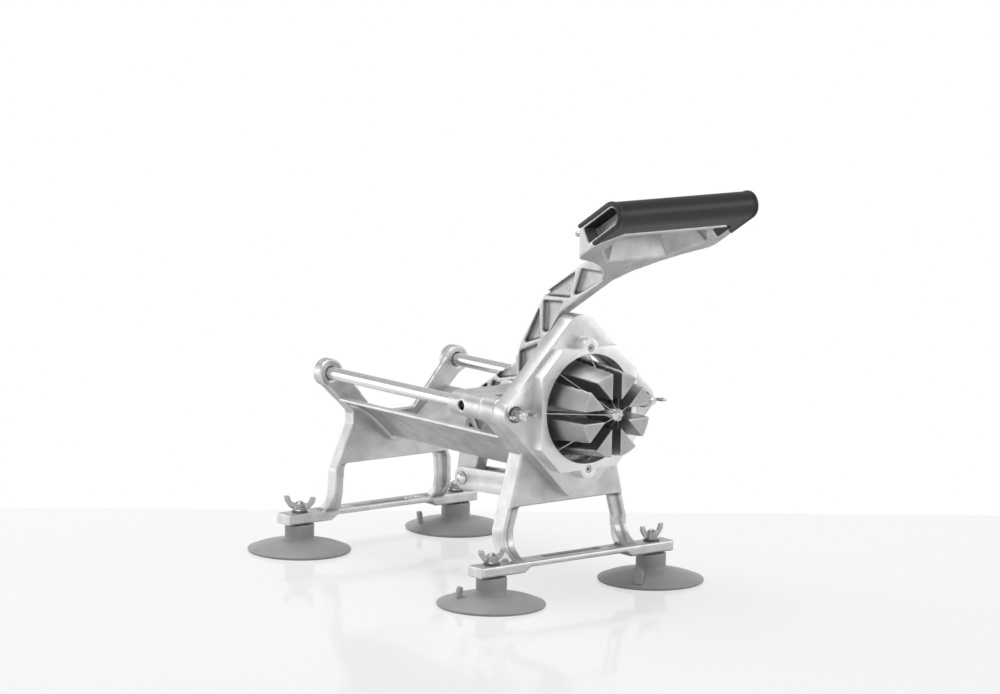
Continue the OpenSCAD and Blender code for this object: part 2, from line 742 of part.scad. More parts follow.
module link_bar() {
    color(cast) from_bar() slab_x(link_x, link_x + link_t) difference() {
        d = unit(low_pivot - link_pivot);
        s = [-d.y, d.x] * link_w / 2;
        union() {
            polygon([link_pivot + s, link_pivot - s, low_pivot - s, low_pivot + s]);
            for (p = [link_pivot, low_pivot]) translate(p) circle(link_w / 2);
        }
        for (p = [link_pivot, low_pivot]) translate(p) circle(bolt_d / 2 + run_gap);
    }
}

module link_right() { link_bar(); }
module link_left() { mirror([1, 0, 0]) link_bar(); }

module pan_head(x0, x1) {
    difference() {
        rod_x_dir(bolt_d / 2 + 2.8, x0, x1);
        translate([min(x0, x1 - 1.5), -0.8, -10]) cube([1.5, 1.6, 20]);
    }
}

module link_front_bolt() {
    out = link_x + link_t + 0.2;
    color(steel) from_bar() translate([0, link_pivot.x, link_pivot.y]) {
        rod_x_dir(bolt_d / 2, -out, out + 9);
        pan_head(-out - 4, -out);
    }
}

module link_front_nut() {
    out = link_x + link_t + 0.2;
    color(zinc) from_bar() translate([out, link_pivot.x, link_pivot.y]) rotate([0, 90, 0]) difference() {
        cylinder(r = 7.5, h = 6.5, $fn = 6);
        translate([0, 0, -1]) cylinder(r = bolt_d / 2 + seat_gap, h = 9);
    }
}

module link_rear_pins() {
    out = link_x + link_t + 0.2;
    color(steel) from_bar() both_sides() translate([0, low_pivot.x, low_pivot.y]) {
        rod_x_dir(bolt_d / 2, link_x, out);
        mirror([1, 0, 0]) pan_head(-out - 4, -out);
    }
}

// ---------- feet ----------

module suction_cup(tab_angle) {
    r = cup_d / 2;
    post_r = post_d / 2;
    skirt = [[post_r, cup_h], [post_r, 14.5], [post_r + 1.2, 12.2], [post_r + 4.2, 10.8],
        [r - 20, 8.2], [r - 9, 5.2], [r - 1.2, 2.2], [r, 1.4], [r - 0.4, 0]];
    under = [[r - 5, 0], [r - 14, 1.8], [r - 28, 3.6], [0, 4.5]];
    color(rubber) difference() {
        union() {
            rotate_extrude($fn = 96) polygon(concat([[0, cup_h]], skirt, under));
            rotate([0, 0, tab_angle]) translate([r - 14, 0, 4.5]) rotate([0, 14, 0])
                translate([-1.6, -3.5, 0]) cube([3.2, 7, 15]);
        }
        translate([0, 0, cup_h - 16]) cylinder(r = stud_d / 2 + seat_gap, h = 20);
    }
}

module foot_place(sx, rear) { from_bar() translate([sx * cup_x, rear ? bar_pitch : 0, 0]) children(); }

module suction_cup_front_left() { foot_place(-1, false) suction_cup(158); }
module suction_cup_front_right() { foot_place(1, false) suction_cup(222); }
module suction_cup_rear_left() { foot_place(-1, true) suction_cup(60); }
module suction_cup_rear_right() { foot_place(1, true) suction_cup(160); }

module each_foot() { for (sx = [-1, 1], rear = [false, true]) foot_place(sx, rear) children(); }

module foot_studs() {
    color(steel) each_foot() translate([0, 0, cup_h - 15.5]) cylinder(r = stud_d / 2, h = 15.5 + bar_top - cup_h + 12);
}

module foot_washers() {
    color(zinc) each_foot() {
        translate([0, 0, cup_h]) washer(stud_d + 1, stud_d / 2 + seat_gap, washer_t);
        translate([0, 0, bar_top]) washer(stud_d, stud_d / 2 + seat_gap, 1.2);
    }
}

module foot_wing_nuts() {
    turn = [0, 8, 128, -10];
    color(zinc) for (i = [0:3]) foot_place(i % 2 == 0 ? -1 : 1, i > 1)
        translate([0, 0, bar_top + 1.2]) rotate([0, 0, turn[i]]) wing_nut(stud_d);
}

front_frame();
trough();
rear_frame();
guide_rod_left();
guide_rod_right();
rod_nuts();
blade_holder();
holder_washers();
holder_wing_nuts();
blade_ring();
ring_screws();
wedge_blades();
hub_screw();
carriage();
slide_bushings();
pusher_block();
pusher_screws();
lever();
grip_sleeve();
grip_screws();
lever_pin();
pin_ring();
lever_bush();
link_left();
link_right();
link_front_bolt();
link_front_nut();
link_rear_pins();
suction_cup_front_left();
suction_cup_front_right();
suction_cup_rear_left();
suction_cup_rear_right();
foot_studs();
foot_washers();
foot_wing_nuts();
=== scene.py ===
"""Looks for a lever fry cutter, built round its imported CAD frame.

Castings keep the CAD solids' shape with the soft edges of a sand casting, and
the lever's arm gets its real pockets. Cups, grip, blades, nuts and pins are
modelled here in millimetres. Everything else is in metres.
"""

from __future__ import annotations

import json
import logging
import math
from dataclasses import dataclass
from enum import Enum

import bmesh
import bpy
from mathutils import Matrix, Vector

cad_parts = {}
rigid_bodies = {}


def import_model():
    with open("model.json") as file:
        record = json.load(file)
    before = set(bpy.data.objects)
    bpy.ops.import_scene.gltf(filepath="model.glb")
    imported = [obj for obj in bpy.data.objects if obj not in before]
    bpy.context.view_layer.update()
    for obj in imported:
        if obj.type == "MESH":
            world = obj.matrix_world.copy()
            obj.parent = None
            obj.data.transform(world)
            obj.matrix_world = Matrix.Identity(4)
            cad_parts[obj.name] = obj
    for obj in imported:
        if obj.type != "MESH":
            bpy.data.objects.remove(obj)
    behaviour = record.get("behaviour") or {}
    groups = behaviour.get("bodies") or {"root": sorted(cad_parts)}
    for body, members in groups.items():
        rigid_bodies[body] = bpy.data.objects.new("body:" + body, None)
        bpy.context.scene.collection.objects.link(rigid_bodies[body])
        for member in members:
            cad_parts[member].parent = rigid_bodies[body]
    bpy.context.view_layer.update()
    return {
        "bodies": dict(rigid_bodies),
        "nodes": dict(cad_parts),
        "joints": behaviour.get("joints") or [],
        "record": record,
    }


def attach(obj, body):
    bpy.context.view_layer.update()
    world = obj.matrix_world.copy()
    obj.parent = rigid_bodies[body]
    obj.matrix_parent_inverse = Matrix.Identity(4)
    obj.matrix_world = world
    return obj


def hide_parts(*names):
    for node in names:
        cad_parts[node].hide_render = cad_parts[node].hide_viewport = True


MM = 0.001
LOG = logging.getLogger("fry_cutter")

# finishes
FLAT = 0.504  # what Pointiness reads on a flat face
TONE_STOPS = (0.3, 0.7)  # where a pattern reaches its dark and its light tone
EDGE_WIDTH, HOLLOW_WIDTH = 0.05, 0.06  # how far Pointiness moves from flat to the full mask
EDGE_SHARE = 0.6  # how much lighter the edges get, partly worn metal and partly painted highlight, as a share of the edge and hollow strength
WHITE = (1.0, 1.0, 1.0, 1.0)

# studio
SIDEWAYS = (0.62, -0.77, 0.0)  # level, to the camera's right


# ---------------------------------------------------------------- materials


def add_node(tree: bpy.types.NodeTree, kind: str, **values: object) -> bpy.types.Node:
    """Adds a node and sets its sockets and properties by name.

    Args:
        tree: The node tree that gets the node.
        kind: The node's type name.
        values: Socket defaults, or properties where no socket has the name.

    Returns:
        The new node.
    """
    node = tree.nodes.new(kind)
    for name, value in values.items():
        socket = node.inputs.get(name.replace("_", " "))
        if socket is None:
            setattr(node, name, value)
        else:
            socket.default_value = value
    return node


def join(tree: bpy.types.NodeTree, source: bpy.types.Node, out: str, target: bpy.types.Node,
         into: str | int) -> None:
    """Links one node's output to another's input, by name or number."""
    tree.links.new(source.outputs[out], target.inputs[into])


class GroupBook:
    """The shader node groups that several finishes share, each built once."""

    @staticmethod
    def _start(name: str, inputs: dict[str, float],
               outputs: dict[str, str]) -> tuple[bpy.types.NodeTree, bpy.types.Node, bpy.types.Node]:
        """Makes an empty group with its sockets.

        Args:
            name: The group's name.
            inputs: Float inputs and their defaults.
            outputs: Output names and their socket types.

        Returns:
            The tree, its input node and its output node.
        """
        tree = bpy.data.node_groups.new(name, "ShaderNodeTree")
        for label, value in inputs.items():
            made = tree.interface.new_socket(label, in_out="INPUT", socket_type="NodeSocketFloat")
            made.default_value = value
        for label, kind in outputs.items():
            tree.interface.new_socket(label, in_out="OUTPUT", socket_type=kind)
        return tree, tree.nodes.new("NodeGroupInput"), tree.nodes.new("NodeGroupOutput")

    @classmethod
    def cast_grain(cls) -> bpy.types.NodeTree:
        """Sand cast grain: a height of fine grains and soft swells, and a tone mask.

        Returns:
            The group, with Height and Tone outputs.
        """
        found = bpy.data.node_groups.get("cast_grain")
        if found:
            return found
        tree, given, out = cls._start(
            "cast_grain",
            {"Grain Size": 0.0009, "Swell Size": 0.02, "Swell": 0.35},
            {"Height": "NodeSocketFloat", "Tone": "NodeSocketFloat"},
        )
        place = add_node(tree, "ShaderNodeTexCoord")
        per_grain = add_node(tree, "ShaderNodeMath", operation="DIVIDE")
        per_grain.inputs[0].default_value = 1.0
        tree.links.new(given.outputs["Grain Size"], per_grain.inputs[1])
        per_swell = add_node(tree, "ShaderNodeMath", operation="DIVIDE")
        per_swell.inputs[0].default_value = 1.0
        tree.links.new(given.outputs["Swell Size"], per_swell.inputs[1])
        grain = add_node(tree, "ShaderNodeTexNoise", Detail=3.0, Roughness=0.62)
        swell = add_node(tree, "ShaderNodeTexNoise", Detail=2.0, Roughness=0.5)
        for tex, scale in ((grain, per_grain), (swell, per_swell)):
            join(tree, place, "Object", tex, "Vector")
            tree.links.new(scale.outputs[0], tex.inputs["Scale"])
        mix = add_node(tree, "ShaderNodeMath", operation="MULTIPLY_ADD")
        tree.links.new(swell.outputs["Fac"], mix.inputs[0])
        tree.links.new(given.outputs["Swell"], mix.inputs[1])
        tree.links.new(grain.outputs["Fac"], mix.inputs[2])
        tree.links.new(mix.outputs[0], out.inputs["Height"])
        tone = add_node(tree, "ShaderNodeMath", operation="MULTIPLY_ADD")
        tree.links.new(grain.outputs["Fac"], tone.inputs[0])
        tone.inputs[1].default_value = 0.5
        half = add_node(tree, "ShaderNodeMath", operation="MULTIPLY")
        tree.links.new(swell.outputs["Fac"], half.inputs[0])
        half.inputs[1].default_value = 0.5
        tree.links.new(half.outputs[0], tone.inputs[2])
        tree.links.new(tone.outputs[0], out.inputs["Tone"])
        return tree

    @classmethod
    def edge_wear_highlight_and_hollow_shade(cls) -> bpy.types.NodeTree:
        """Masks of a casting's edges, lightened as worn metal and as painted highlight, and of its hollows,
        darkened with painted shade.

        Returns:
            The group, with Edge and Hollow outputs.
        """
        found = bpy.data.node_groups.get("edge_wear_highlight_and_hollow_shade")
        if found:
            return found
        tree, given, out = cls._start(
            "edge_wear_highlight_and_hollow_shade",
            {"Edge Width": 0.05, "Hollow Width": 0.05},
            {"Edge": "NodeSocketFloat", "Hollow": "NodeSocketFloat"},
        )
        shape = add_node(tree, "ShaderNodeNewGeometry")
        # Pointiness picks out edges, lightened partly as worn metal and partly as painted highlight, and
        # hollows, which get painted shade
        for label, sign in (("Edge", 1.0), ("Hollow", -1.0)):
            from_flat = add_node(tree, "ShaderNodeMath", operation="MULTIPLY_ADD")
            from_flat.inputs[1].default_value = sign
            from_flat.inputs[2].default_value = -FLAT * sign
            join(tree, shape, "Pointiness", from_flat, 0)
            share = add_node(tree, "ShaderNodeMath", operation="DIVIDE", use_clamp=True)
            tree.links.new(from_flat.outputs[0], share.inputs[0])
            tree.links.new(given.outputs[f"{label} Width"], share.inputs[1])
            tree.links.new(share.outputs[0], out.inputs[label])
        return tree

    @classmethod
    def ground_lines(cls) -> bpy.types.NodeTree:
        """Fine lines that a grinder leaves, square to a chosen axis.

        Returns:
            The group, with a Lines output.
        """
        found = bpy.data.node_groups.get("ground_lines")
        if found:
            return found
        tree, given, out = cls._start(
            "ground_lines",
            {"Scale X": 60.0, "Scale Y": 4000.0, "Scale Z": 60.0},
            {"Lines": "NodeSocketFloat"},
        )
        place = add_node(tree, "ShaderNodeTexCoord")
        scale = add_node(tree, "ShaderNodeCombineXYZ")
        for axis in "XYZ":
            tree.links.new(given.outputs[f"Scale {axis}"], scale.inputs[axis])
        stretch = add_node(tree, "ShaderNodeVectorMath", operation="MULTIPLY")
        tree.links.new(place.outputs["Object"], stretch.inputs[0])
        tree.links.new(scale.outputs[0], stretch.inputs[1])
        noise = add_node(tree, "ShaderNodeTexNoise", Scale=1.0, Detail=3.0, Roughness=0.6)
        tree.links.new(stretch.outputs[0], noise.inputs["Vector"])
        tree.links.new(noise.outputs["Fac"], out.inputs["Lines"])
        return tree


@dataclass(frozen=True)
class Finish:
    """What every finish has: a dark and a light tone, and how rough it is.

    Attributes:
        name: The material's name.
        dark: The tone's low end, a grey or a colour.
        light: The tone's high end.
        rough: Roughness where the surface is smoothest.
        rough_more: What the pattern adds to the roughness.
        metallic: 1 for bare metal and 0 for the rest.
    """

    name: str
    dark: tuple[float, float, float]
    light: tuple[float, float, float]
    rough: float
    rough_more: float = 0.08
    metallic: float = 1.0

    def _base(self) -> tuple[bpy.types.Material, bpy.types.Node]:
        """Makes the material with an empty Principled BSDF."""
        made = bpy.data.materials.new(self.name)
        made.use_nodes = True
        tree = made.node_tree
        tree.nodes.clear()
        shader = add_node(tree, "ShaderNodeBsdfPrincipled", Metallic=self.metallic, Roughness=self.rough)
        out = add_node(tree, "ShaderNodeOutputMaterial")
        join(tree, shader, "BSDF", out, "Surface")
        return made, shader

    def _ramp(self, tree: bpy.types.NodeTree, mask: bpy.types.NodeSocket, shader: bpy.types.Node) -> None:
        """Lets a mask choose between the tones and add roughness."""
        tone = add_node(tree, "ShaderNodeValToRGB")
        for stop, where, colour in zip(tone.color_ramp.elements, TONE_STOPS, (self.dark, self.light)):
            stop.position = where
            stop.color = (*colour, 1)
        tree.links.new(mask, tone.inputs["Fac"])
        join(tree, tone, "Color", shader, "Base Color")
        rough = add_node(tree, "ShaderNodeMath", operation="MULTIPLY_ADD")
        rough.inputs[1].default_value = self.rough_more
        rough.inputs[2].default_value = self.rough
        tree.links.new(mask, rough.inputs[0])
        tree.links.new(rough.outputs[0], shader.inputs["Roughness"])

    @staticmethod
    def _bump(tree: bpy.types.NodeTree, height: bpy.types.NodeSocket, shader: bpy.types.Node,
              depth: float, strength: float) -> None:
        """Feeds a height to the shader's normal."""
        bump = add_node(tree, "ShaderNodeBump", Strength=strength, Distance=depth)
        tree.links.new(height, bump.inputs["Height"])
        join(tree, bump, "Normal", shader, "Normal")


@dataclass(frozen=True)
class CastFinish(Finish):
    """A cast or moulded surface, with fine grain over soft swells.

    Attributes:
        grain: Size of a grain.
        swell: Size of the skin's soft unevenness.
        depth: Height of the pattern.
        wear_highlight_and_shade: How much the edges are lightened, as worn metal and as painted highlight,
            and the hollows darkened with painted shade.
    """

    grain: float = 0.8 * MM
    swell: float = 18 * MM
    depth: float = 0.12 * MM
    wear_highlight_and_shade: float = 0.0

    def material(self) -> bpy.types.Material:
        """Builds the material."""
        made, shader = self._base()
        tree = made.node_tree
        group = add_node(tree, "ShaderNodeGroup", node_tree=GroupBook.cast_grain())
        group.inputs["Grain Size"].default_value = self.grain
        group.inputs["Swell Size"].default_value = self.swell
        self._ramp(tree, group.outputs["Tone"], shader)
        self._bump(tree, group.outputs["Height"], shader, self.depth, 0.6)
        # painted shade in the hollows, and edges lightened partly as worn metal and partly as painted
        # highlight
        if self.wear_highlight_and_shade:
            self._paint_wear_highlight_and_shade(tree, shader)
        return made

    def _paint_wear_highlight_and_shade(self, tree: bpy.types.NodeTree, shader: bpy.types.Node) -> None:
        """Lightens edges, as worn metal and as painted highlight, and darkens hollows with painted shade."""
        group = add_node(tree, "ShaderNodeGroup", node_tree=GroupBook.edge_wear_highlight_and_hollow_shade())
        group.inputs["Edge Width"].default_value = EDGE_WIDTH
        group.inputs["Hollow Width"].default_value = HOLLOW_WIDTH
        source = shader.inputs["Base Color"].links[0].from_socket
        # hollows are multiplied darker as painted shade; edges are screened lighter, partly worn metal and
        # partly painted highlight
        shades = (("Hollow", "MULTIPLY", 1.0 - self.wear_highlight_and_shade), ("Edge", "SCREEN", self.wear_highlight_and_shade * EDGE_SHARE))
        for label, kind, grey in shades:
            mix = add_node(tree, "ShaderNodeMixRGB", blend_type=kind)
            mix.inputs[2].default_value = (grey, grey, grey, 1)
            tree.links.new(group.outputs[label], mix.inputs[0])
            tree.links.new(source, mix.inputs[1])
            source = mix.outputs[0]
        tree.links.new(source, shader.inputs["Base Color"])


@dataclass(frozen=True)
class GroundFinish(Finish):
    """Ground, drawn or polished metal with fine lines.

    Attributes:
        scale: The lines' density along X, Y and Z.
        depth: Height of the lines.
    """

    scale: tuple[float, float, float] = (60.0, 4000.0, 60.0)
    depth: float = 0.01 * MM

    def material(self) -> bpy.types.Material:
        """Builds the material."""
        made, shader = self._base()
        tree = made.node_tree
        group = add_node(tree, "ShaderNodeGroup", node_tree=GroupBook.ground_lines())
        for axis, value in zip("XYZ", self.scale):
            group.inputs[f"Scale {axis}"].default_value = value
        self._ramp(tree, group.outputs["Lines"], shader)
        self._bump(tree, group.outputs["Lines"], shader, self.depth, 0.5)
        return made


class Look(Enum):
    """Every finish on the cutter."""

    # the castings' hollows carry painted shade, and their edges a lighter tone that is partly worn metal and
    # partly painted highlight
    CAST = CastFinish(
        "satin_casting", (0.46, 0.46, 0.455), (0.82, 0.82, 0.815), 0.32, 0.18, depth=0.18 * MM, wear_highlight_and_shade=0.7)
    ARM = CastFinish(
        "satin_lever", (0.37, 0.37, 0.365), (0.68, 0.68, 0.675), 0.32, 0.18, depth=0.18 * MM, wear_highlight_and_shade=0.7)
    RING = CastFinish(
        "satin_ring", (0.72, 0.72, 0.715), (0.96, 0.96, 0.955), 0.36, 0.18, depth=0.16 * MM, wear_highlight_and_shade=0.5)
    FINGER = CastFinish(
        "pusher_casting", (0.34, 0.34, 0.34), (0.60, 0.60, 0.60), 0.36, 0.14, depth=0.14 * MM, wear_highlight_and_shade=0.45)
    ROD = GroundFinish("polished_rod", (0.78, 0.78, 0.79), (0.90, 0.90, 0.91), 0.22, 0.10)
    CHROME = GroundFinish(
        "polished_head", (0.62, 0.62, 0.62), (0.86, 0.86, 0.86), 0.06, 0.06, scale=(300.0, 300.0, 300.0))
    BLADE = GroundFinish(
        "ground_blade", (0.66, 0.66, 0.67), (0.86, 0.86, 0.87), 0.16, 0.12, scale=(900.0, 900.0, 900.0))
    SCREW = GroundFinish(
        "ground_screw", (0.40, 0.40, 0.41), (0.66, 0.66, 0.67), 0.20, 0.12, scale=(500.0, 1500.0, 500.0))
    ZINC = CastFinish(
        "zinc_plate", (0.27, 0.27, 0.265), (0.46, 0.46, 0.45), 0.20, 0.14,
        grain=0.6 * MM, depth=0.03 * MM, wear_highlight_and_shade=0.5)
    # near-black steel on the washers paints the shadow line under the wing nuts
    DARK = GroundFinish(
        "washer_painted_shadow", (0.10, 0.10, 0.10), (0.22, 0.22, 0.22), 0.3, 0.2, scale=(400.0, 400.0, 400.0))
    # bronze tint, darkened well below bronze's own tone to paint the shade inside the bush holes
    BRONZE = GroundFinish("bronze_bush_shaded", (0.06, 0.045, 0.03), (0.16, 0.11, 0.06), 0.35, 0.2)
    RUBBER = CastFinish(
        "grey_rubber", (0.31, 0.31, 0.312), (0.39, 0.39, 0.392), 0.34, 0.14, metallic=0.0,
        grain=0.6 * MM, swell=25 * MM, depth=0.03 * MM)
    VINYL = CastFinish(
        "black_vinyl", (0.010, 0.010, 0.011), (0.020, 0.020, 0.021), 0.40, 0.10, metallic=0.0,
        grain=0.9 * MM, swell=30 * MM, depth=0.03 * MM)
    # near-black plates that paint the shade inside the yoke's ends and window
    LINING = CastFinish("inside_painted_shade", (0.002, 0.002, 0.002), (0.006, 0.006, 0.006), 0.6, 0.1, metallic=0.0)

    def get(self) -> bpy.types.Material:
        """The finish's material, made at its first use."""
        return bpy.data.materials.get(self.value.name) or self.value.material()


# ---------------------------------------------------------------- shape helpers


def finished(name: str, bm: bmesh.types.BMesh, body: str, look: Look, slot: str,
             *nodes: str) -> bpy.types.Object:
    """Makes an object of a bmesh, dresses it and lets it ride on a body.

    Args:
        name: The piece's name.
        bm: Its mesh in the row frame, freed here.
        body: The CAD body that carries it.
        look: Its finish.
        slot: The record's material slot; not used.
        nodes: CAD nodes that it stands for.

    Returns:
        The new object.
    """
    mesh = bpy.data.meshes.new(name)
    bm.to_mesh(mesh)
    bm.free()
    mesh.shade_smooth()
    piece = bpy.data.objects.new(name, mesh)
    bpy.context.scene.collection.objects.link(piece)
    piece.data.materials.append(look.get())
    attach(piece, body)
    if nodes:
        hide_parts(*nodes)
    LOG.info("%s: %d faces on %s", name, len(mesh.polygons), body)
    return piece


def soften(piece: bpy.types.Object, width: float, segments: int = 3, angle: float = 28.0) -> None:
    """Rounds a piece's edges with a Bevel modifier.

    Args:
        piece: The object.
        width: The rounding's width.
        segments: Its segments.
        angle: Edges flatter than this, in degrees, stay.
    """
    bevel = piece.modifiers.new("soft_edges", "BEVEL")
    bevel.width = width
    bevel.segments = segments
    bevel.profile = 0.5
    bevel.limit_method = "ANGLE"
    bevel.angle_limit = math.radians(angle)
    bevel.miter_outer = "MITER_ARC"
    bevel.use_clamp_overlap = True
    bevel.harden_normals = True


def freeze(piece: bpy.types.Object) -> None:
    """Makes a piece's modifiers part of its mesh, shaded smooth."""
    graph = bpy.context.evaluated_depsgraph_get()
    mesh = bpy.data.meshes.new_from_object(piece.evaluated_get(graph))
    piece.modifiers.clear()
    piece.data = mesh
    mesh.shade_smooth()


class CastPiece:
    """A casting with its CAD node's shape and rounded edges."""

    def __init__(self, frame: dict, node: str, body: str, look: Look, slot: str) -> None:
        """Notes which CAD node is dressed, and how."""
        self.source = frame["nodes"][node]
        self.node, self.body, self.look, self.slot = node, body, look, slot

    def _copy(self) -> bmesh.types.BMesh:
        """A merged copy of the node's mesh."""
        bm = bmesh.new()
        bm.from_mesh(self.source.data)
        bmesh.ops.remove_doubles(bm, verts=bm.verts, dist=2e-6)
        bmesh.ops.dissolve_degenerate(bm, edges=bm.edges, dist=1e-6)
        return bm

    def machined(self, width: float, segments: int = 3) -> bpy.types.Object:
        """Keeps the faces flat and rounds the edges a little.

        Args:
            width: The rounding's width.
            segments: Its segments.

        Returns:
            The piece.
        """
        bm = self._copy()
        bmesh.ops.dissolve_limit(bm, angle_limit=math.radians(0.6), use_dissolve_boundaries=False,
                                 verts=bm.verts, edges=bm.edges)
        piece = finished(f"{self.node}_part", bm, self.body, self.look, self.slot, self.node)
        soften(piece, width, segments)
        return piece

    def cast(self, voxel: float, rounds: int = 4, pockets: ArmPockets | None = None) -> bpy.types.Object:
        """Gives the solid a casting's skin, soft on its edges and in its corners.

        Args:
            voxel: The skin's grid.
            rounds: How often it is relaxed.
            pockets: Pockets that are cut afresh.

        Returns:
            The piece.
        """
        piece = finished(f"{self.node}_casting", self._copy(), self.body, self.look, self.slot, self.node)
        if pockets:
            pockets.recut(piece)
        skin = piece.modifiers.new("skin", "REMESH")
        skin.mode = "VOXEL"
        skin.voxel_size = voxel
        relax = piece.modifiers.new("relax", "SMOOTH")
        relax.factor = 0.5
        relax.iterations = rounds
        freeze(piece)
        LOG.info("%s: %d faces after casting", piece.name, len(piece.data.polygons))
        return piece


def spot(x: float, y: float, z: float, *turns: tuple[str, float]) -> Matrix:
    """A place for parts that are drawn in millimetres.

    Args:
        x: Place in the row frame, in millimetres, as are y and z.
        turns: Axis and degrees, each about the part's own axes.

    Returns:
        The matrix from the part's millimetres to the row frame's metres.
    """
    at = Matrix.Translation(Vector((x, y, z)) * MM)
    for axis, angle in turns:
        at = at @ Matrix.Rotation(math.radians(angle), 4, axis)
    return at @ Matrix.Scale(MM, 4)


def eased(points: tuple[tuple[float, float], ...], steps: int = 5) -> list[tuple[float, float]]:
    """A smooth curve through points (Catmull-Rom).

    Args:
        points: What the curve runs through.
        steps: Points for each stretch.

    Returns:
        The curve's points.
    """
    knots = [Vector(p) for p in (points[0], *points, points[-1])]
    curve = []
    for a, b, c, d in zip(knots, knots[1:], knots[2:], knots[3:]):
        for step in range(steps):
            t = step / steps
            bend, twist = 2 * a - 5 * b + 4 * c - d, 3 * b - a - 3 * c + d
            p = 0.5 * (2 * b + (c - a) * t + bend * t**2 + twist * t**3)
            curve.append((p.x, p.y))
    return curve + [tuple(points[-1])]


def arc(x: float, y: float, r: float, start: float, end: float,
        steps: int = 6) -> list[tuple[float, float]]:
    """Points on an arc, its angles in degrees."""
    turn = (math.radians(start + (end - start) * i / steps) for i in range(steps + 1))
    return [(x + r * math.cos(a), y + r * math.sin(a)) for a in turn]


class Blank:
    """A mesh that grows by turned and cut bodies, drawn in millimetres."""

    def __init__(self) -> None:
        """Starts empty."""
        self.bm = bmesh.new()

    def take(self, made: bmesh.types.BMesh, at: Matrix) -> None:
        """Adds a body.

        Args:
            made: The body, freed here.
            at: Where it goes.
        """
        bmesh.ops.recalc_face_normals(made, faces=made.faces)
        made.transform(at)
        shelf = bpy.data.meshes.new("shelf")
        made.to_mesh(shelf)
        made.free()
        self.bm.from_mesh(shelf)
        bpy.data.meshes.remove(shelf)

    def turned(self, profile: list[tuple[float, float]], at: Matrix, steps: int = 48,
               ring: bool = False) -> None:
        """Adds a body turned about its own Z axis.

        Args:
            profile: Radius and height of each point, from axis to axis.
            at: Where it goes.
            steps: Sides of the round.
            ring: Whether the profile closes on itself instead.
        """
        made = bmesh.new()
        points = [made.verts.new((r, 0.0, z)) for r, z in profile]
        pairs = list(zip(points, points[1:])) + ([(points[-1], points[0])] if ring else [])
        edges = [made.edges.new(pair) for pair in pairs]
        bmesh.ops.spin(made, geom=points + edges, cent=(0, 0, 0), axis=(0, 0, 1), angle=math.tau,
                       steps=steps, use_merge=True)
        bmesh.ops.remove_doubles(made, verts=made.verts, dist=1e-4)
        self.take(made, at)

    def cut(self, outline: list[tuple[float, float]], low: float, high: float, at: Matrix,
            edge: float = 0.0, segments: int = 2) -> None:
        """Adds a plate with rounded rims.

        Args:
            outline: Its outline in X and Y.
            low: Its lower face's height.
            high: Its upper face's height.
            at: Where it goes.
            edge: The rims' rounding.
            segments: Segments of the rounding.
        """
        made = bmesh.new()
        face = made.faces.new([made.verts.new((x, y, low)) for x, y in outline])
        grown = bmesh.ops.extrude_face_region(made, geom=[face], use_keep_orig=True)["geom"]
        raised = [part for part in grown if isinstance(part, bmesh.types.BMVert)]
        bmesh.ops.translate(made, verts=raised, vec=(0, 0, high - low))
        lid = next(part for part in grown if isinstance(part, bmesh.types.BMFace))
        if edge:
            borders = list({border for end in (face, lid) for border in end.edges})
            bmesh.ops.bevel(made, geom=borders, offset=edge, segments=segments, profile=0.5, affect="EDGES",
                            material=-1, clamp_overlap=True)
        self.take(made, at)

    def done(self, name: str, body: str, look: Look, slot: str, *nodes: str) -> bpy.types.Object:
        """Makes the piece, with sharp edges where its faces meet steeply."""
        piece = finished(name, self.bm, body, look, slot, *nodes)
        piece.data.set_sharp_from_angle(angle=math.radians(38))
        return piece


@dataclass(frozen=True)
class ArmPockets:
    """The pockets between the ribs of the lever's arm, in its side view, in millimetres.

    The solid has plainer pockets. They are filled, and the arm gets the real ones.

    Attributes:
        half: Half the arm's width.
        web: Half the thickness of the web between the pockets.
        rim: Rounding of the pockets' corners.
        filled: Outlines over the solid's pockets, as Y and Z.
        outlines: Outlines of the real pockets.
    """

    filled: tuple[tuple[tuple[float, float], ...], ...]
    outlines: tuple[tuple[tuple[float, float], ...], ...]
    half: float = 7.0
    web: float = 1.6
    rim: float = 1.2

    def _slabs(self, outlines: tuple, low: float, high: float, edge: float) -> bpy.types.Object:
        """Stands outlines up as slabs on both sides of the web.

        Args:
            outlines: The outlines, as Y and Z.
            low: Where the slabs start along X.
            high: Where they end.
            edge: Rounding of their corners.

        Returns:
            An object that is used up by a Boolean.
        """
        blank = Blank()
        side = spot(0, 0, 0) @ Matrix(((0, 0, 1, 0), (1, 0, 0, 0), (0, 1, 0, 0), (0, 0, 0, 1)))
        for outline in outlines:
            for near, far in ((low, high), (-high, -low)) if low > 0 else ((-high, high),):
                blank.cut(list(outline), near, far, side, edge, 3)
        mesh = bpy.data.meshes.new("arm_tool")
        blank.bm.to_mesh(mesh)
        blank.bm.free()
        tool = bpy.data.objects.new("arm_tool", mesh)
        bpy.context.scene.collection.objects.link(tool)
        return tool

    def recut(self, piece: bpy.types.Object) -> None:
        """Fills the solid's pockets in a piece and cuts the real ones."""
        steps = (("UNION", self._slabs(self.filled, 0.0, self.half, 0.0)),
                 ("DIFFERENCE", self._slabs(self.outlines, self.web, self.half + 2.0, self.rim)))
        for operation, tool in steps:
            cut = piece.modifiers.new(operation.lower(), "BOOLEAN")
            cut.operation, cut.solver, cut.object = operation, "MANIFOLD", tool
        bpy.context.view_layer.update()
        freeze(piece)
        for _, tool in steps:
            bpy.data.meshes.remove(tool.data)


# ---------------------------------------------------------------- small parts


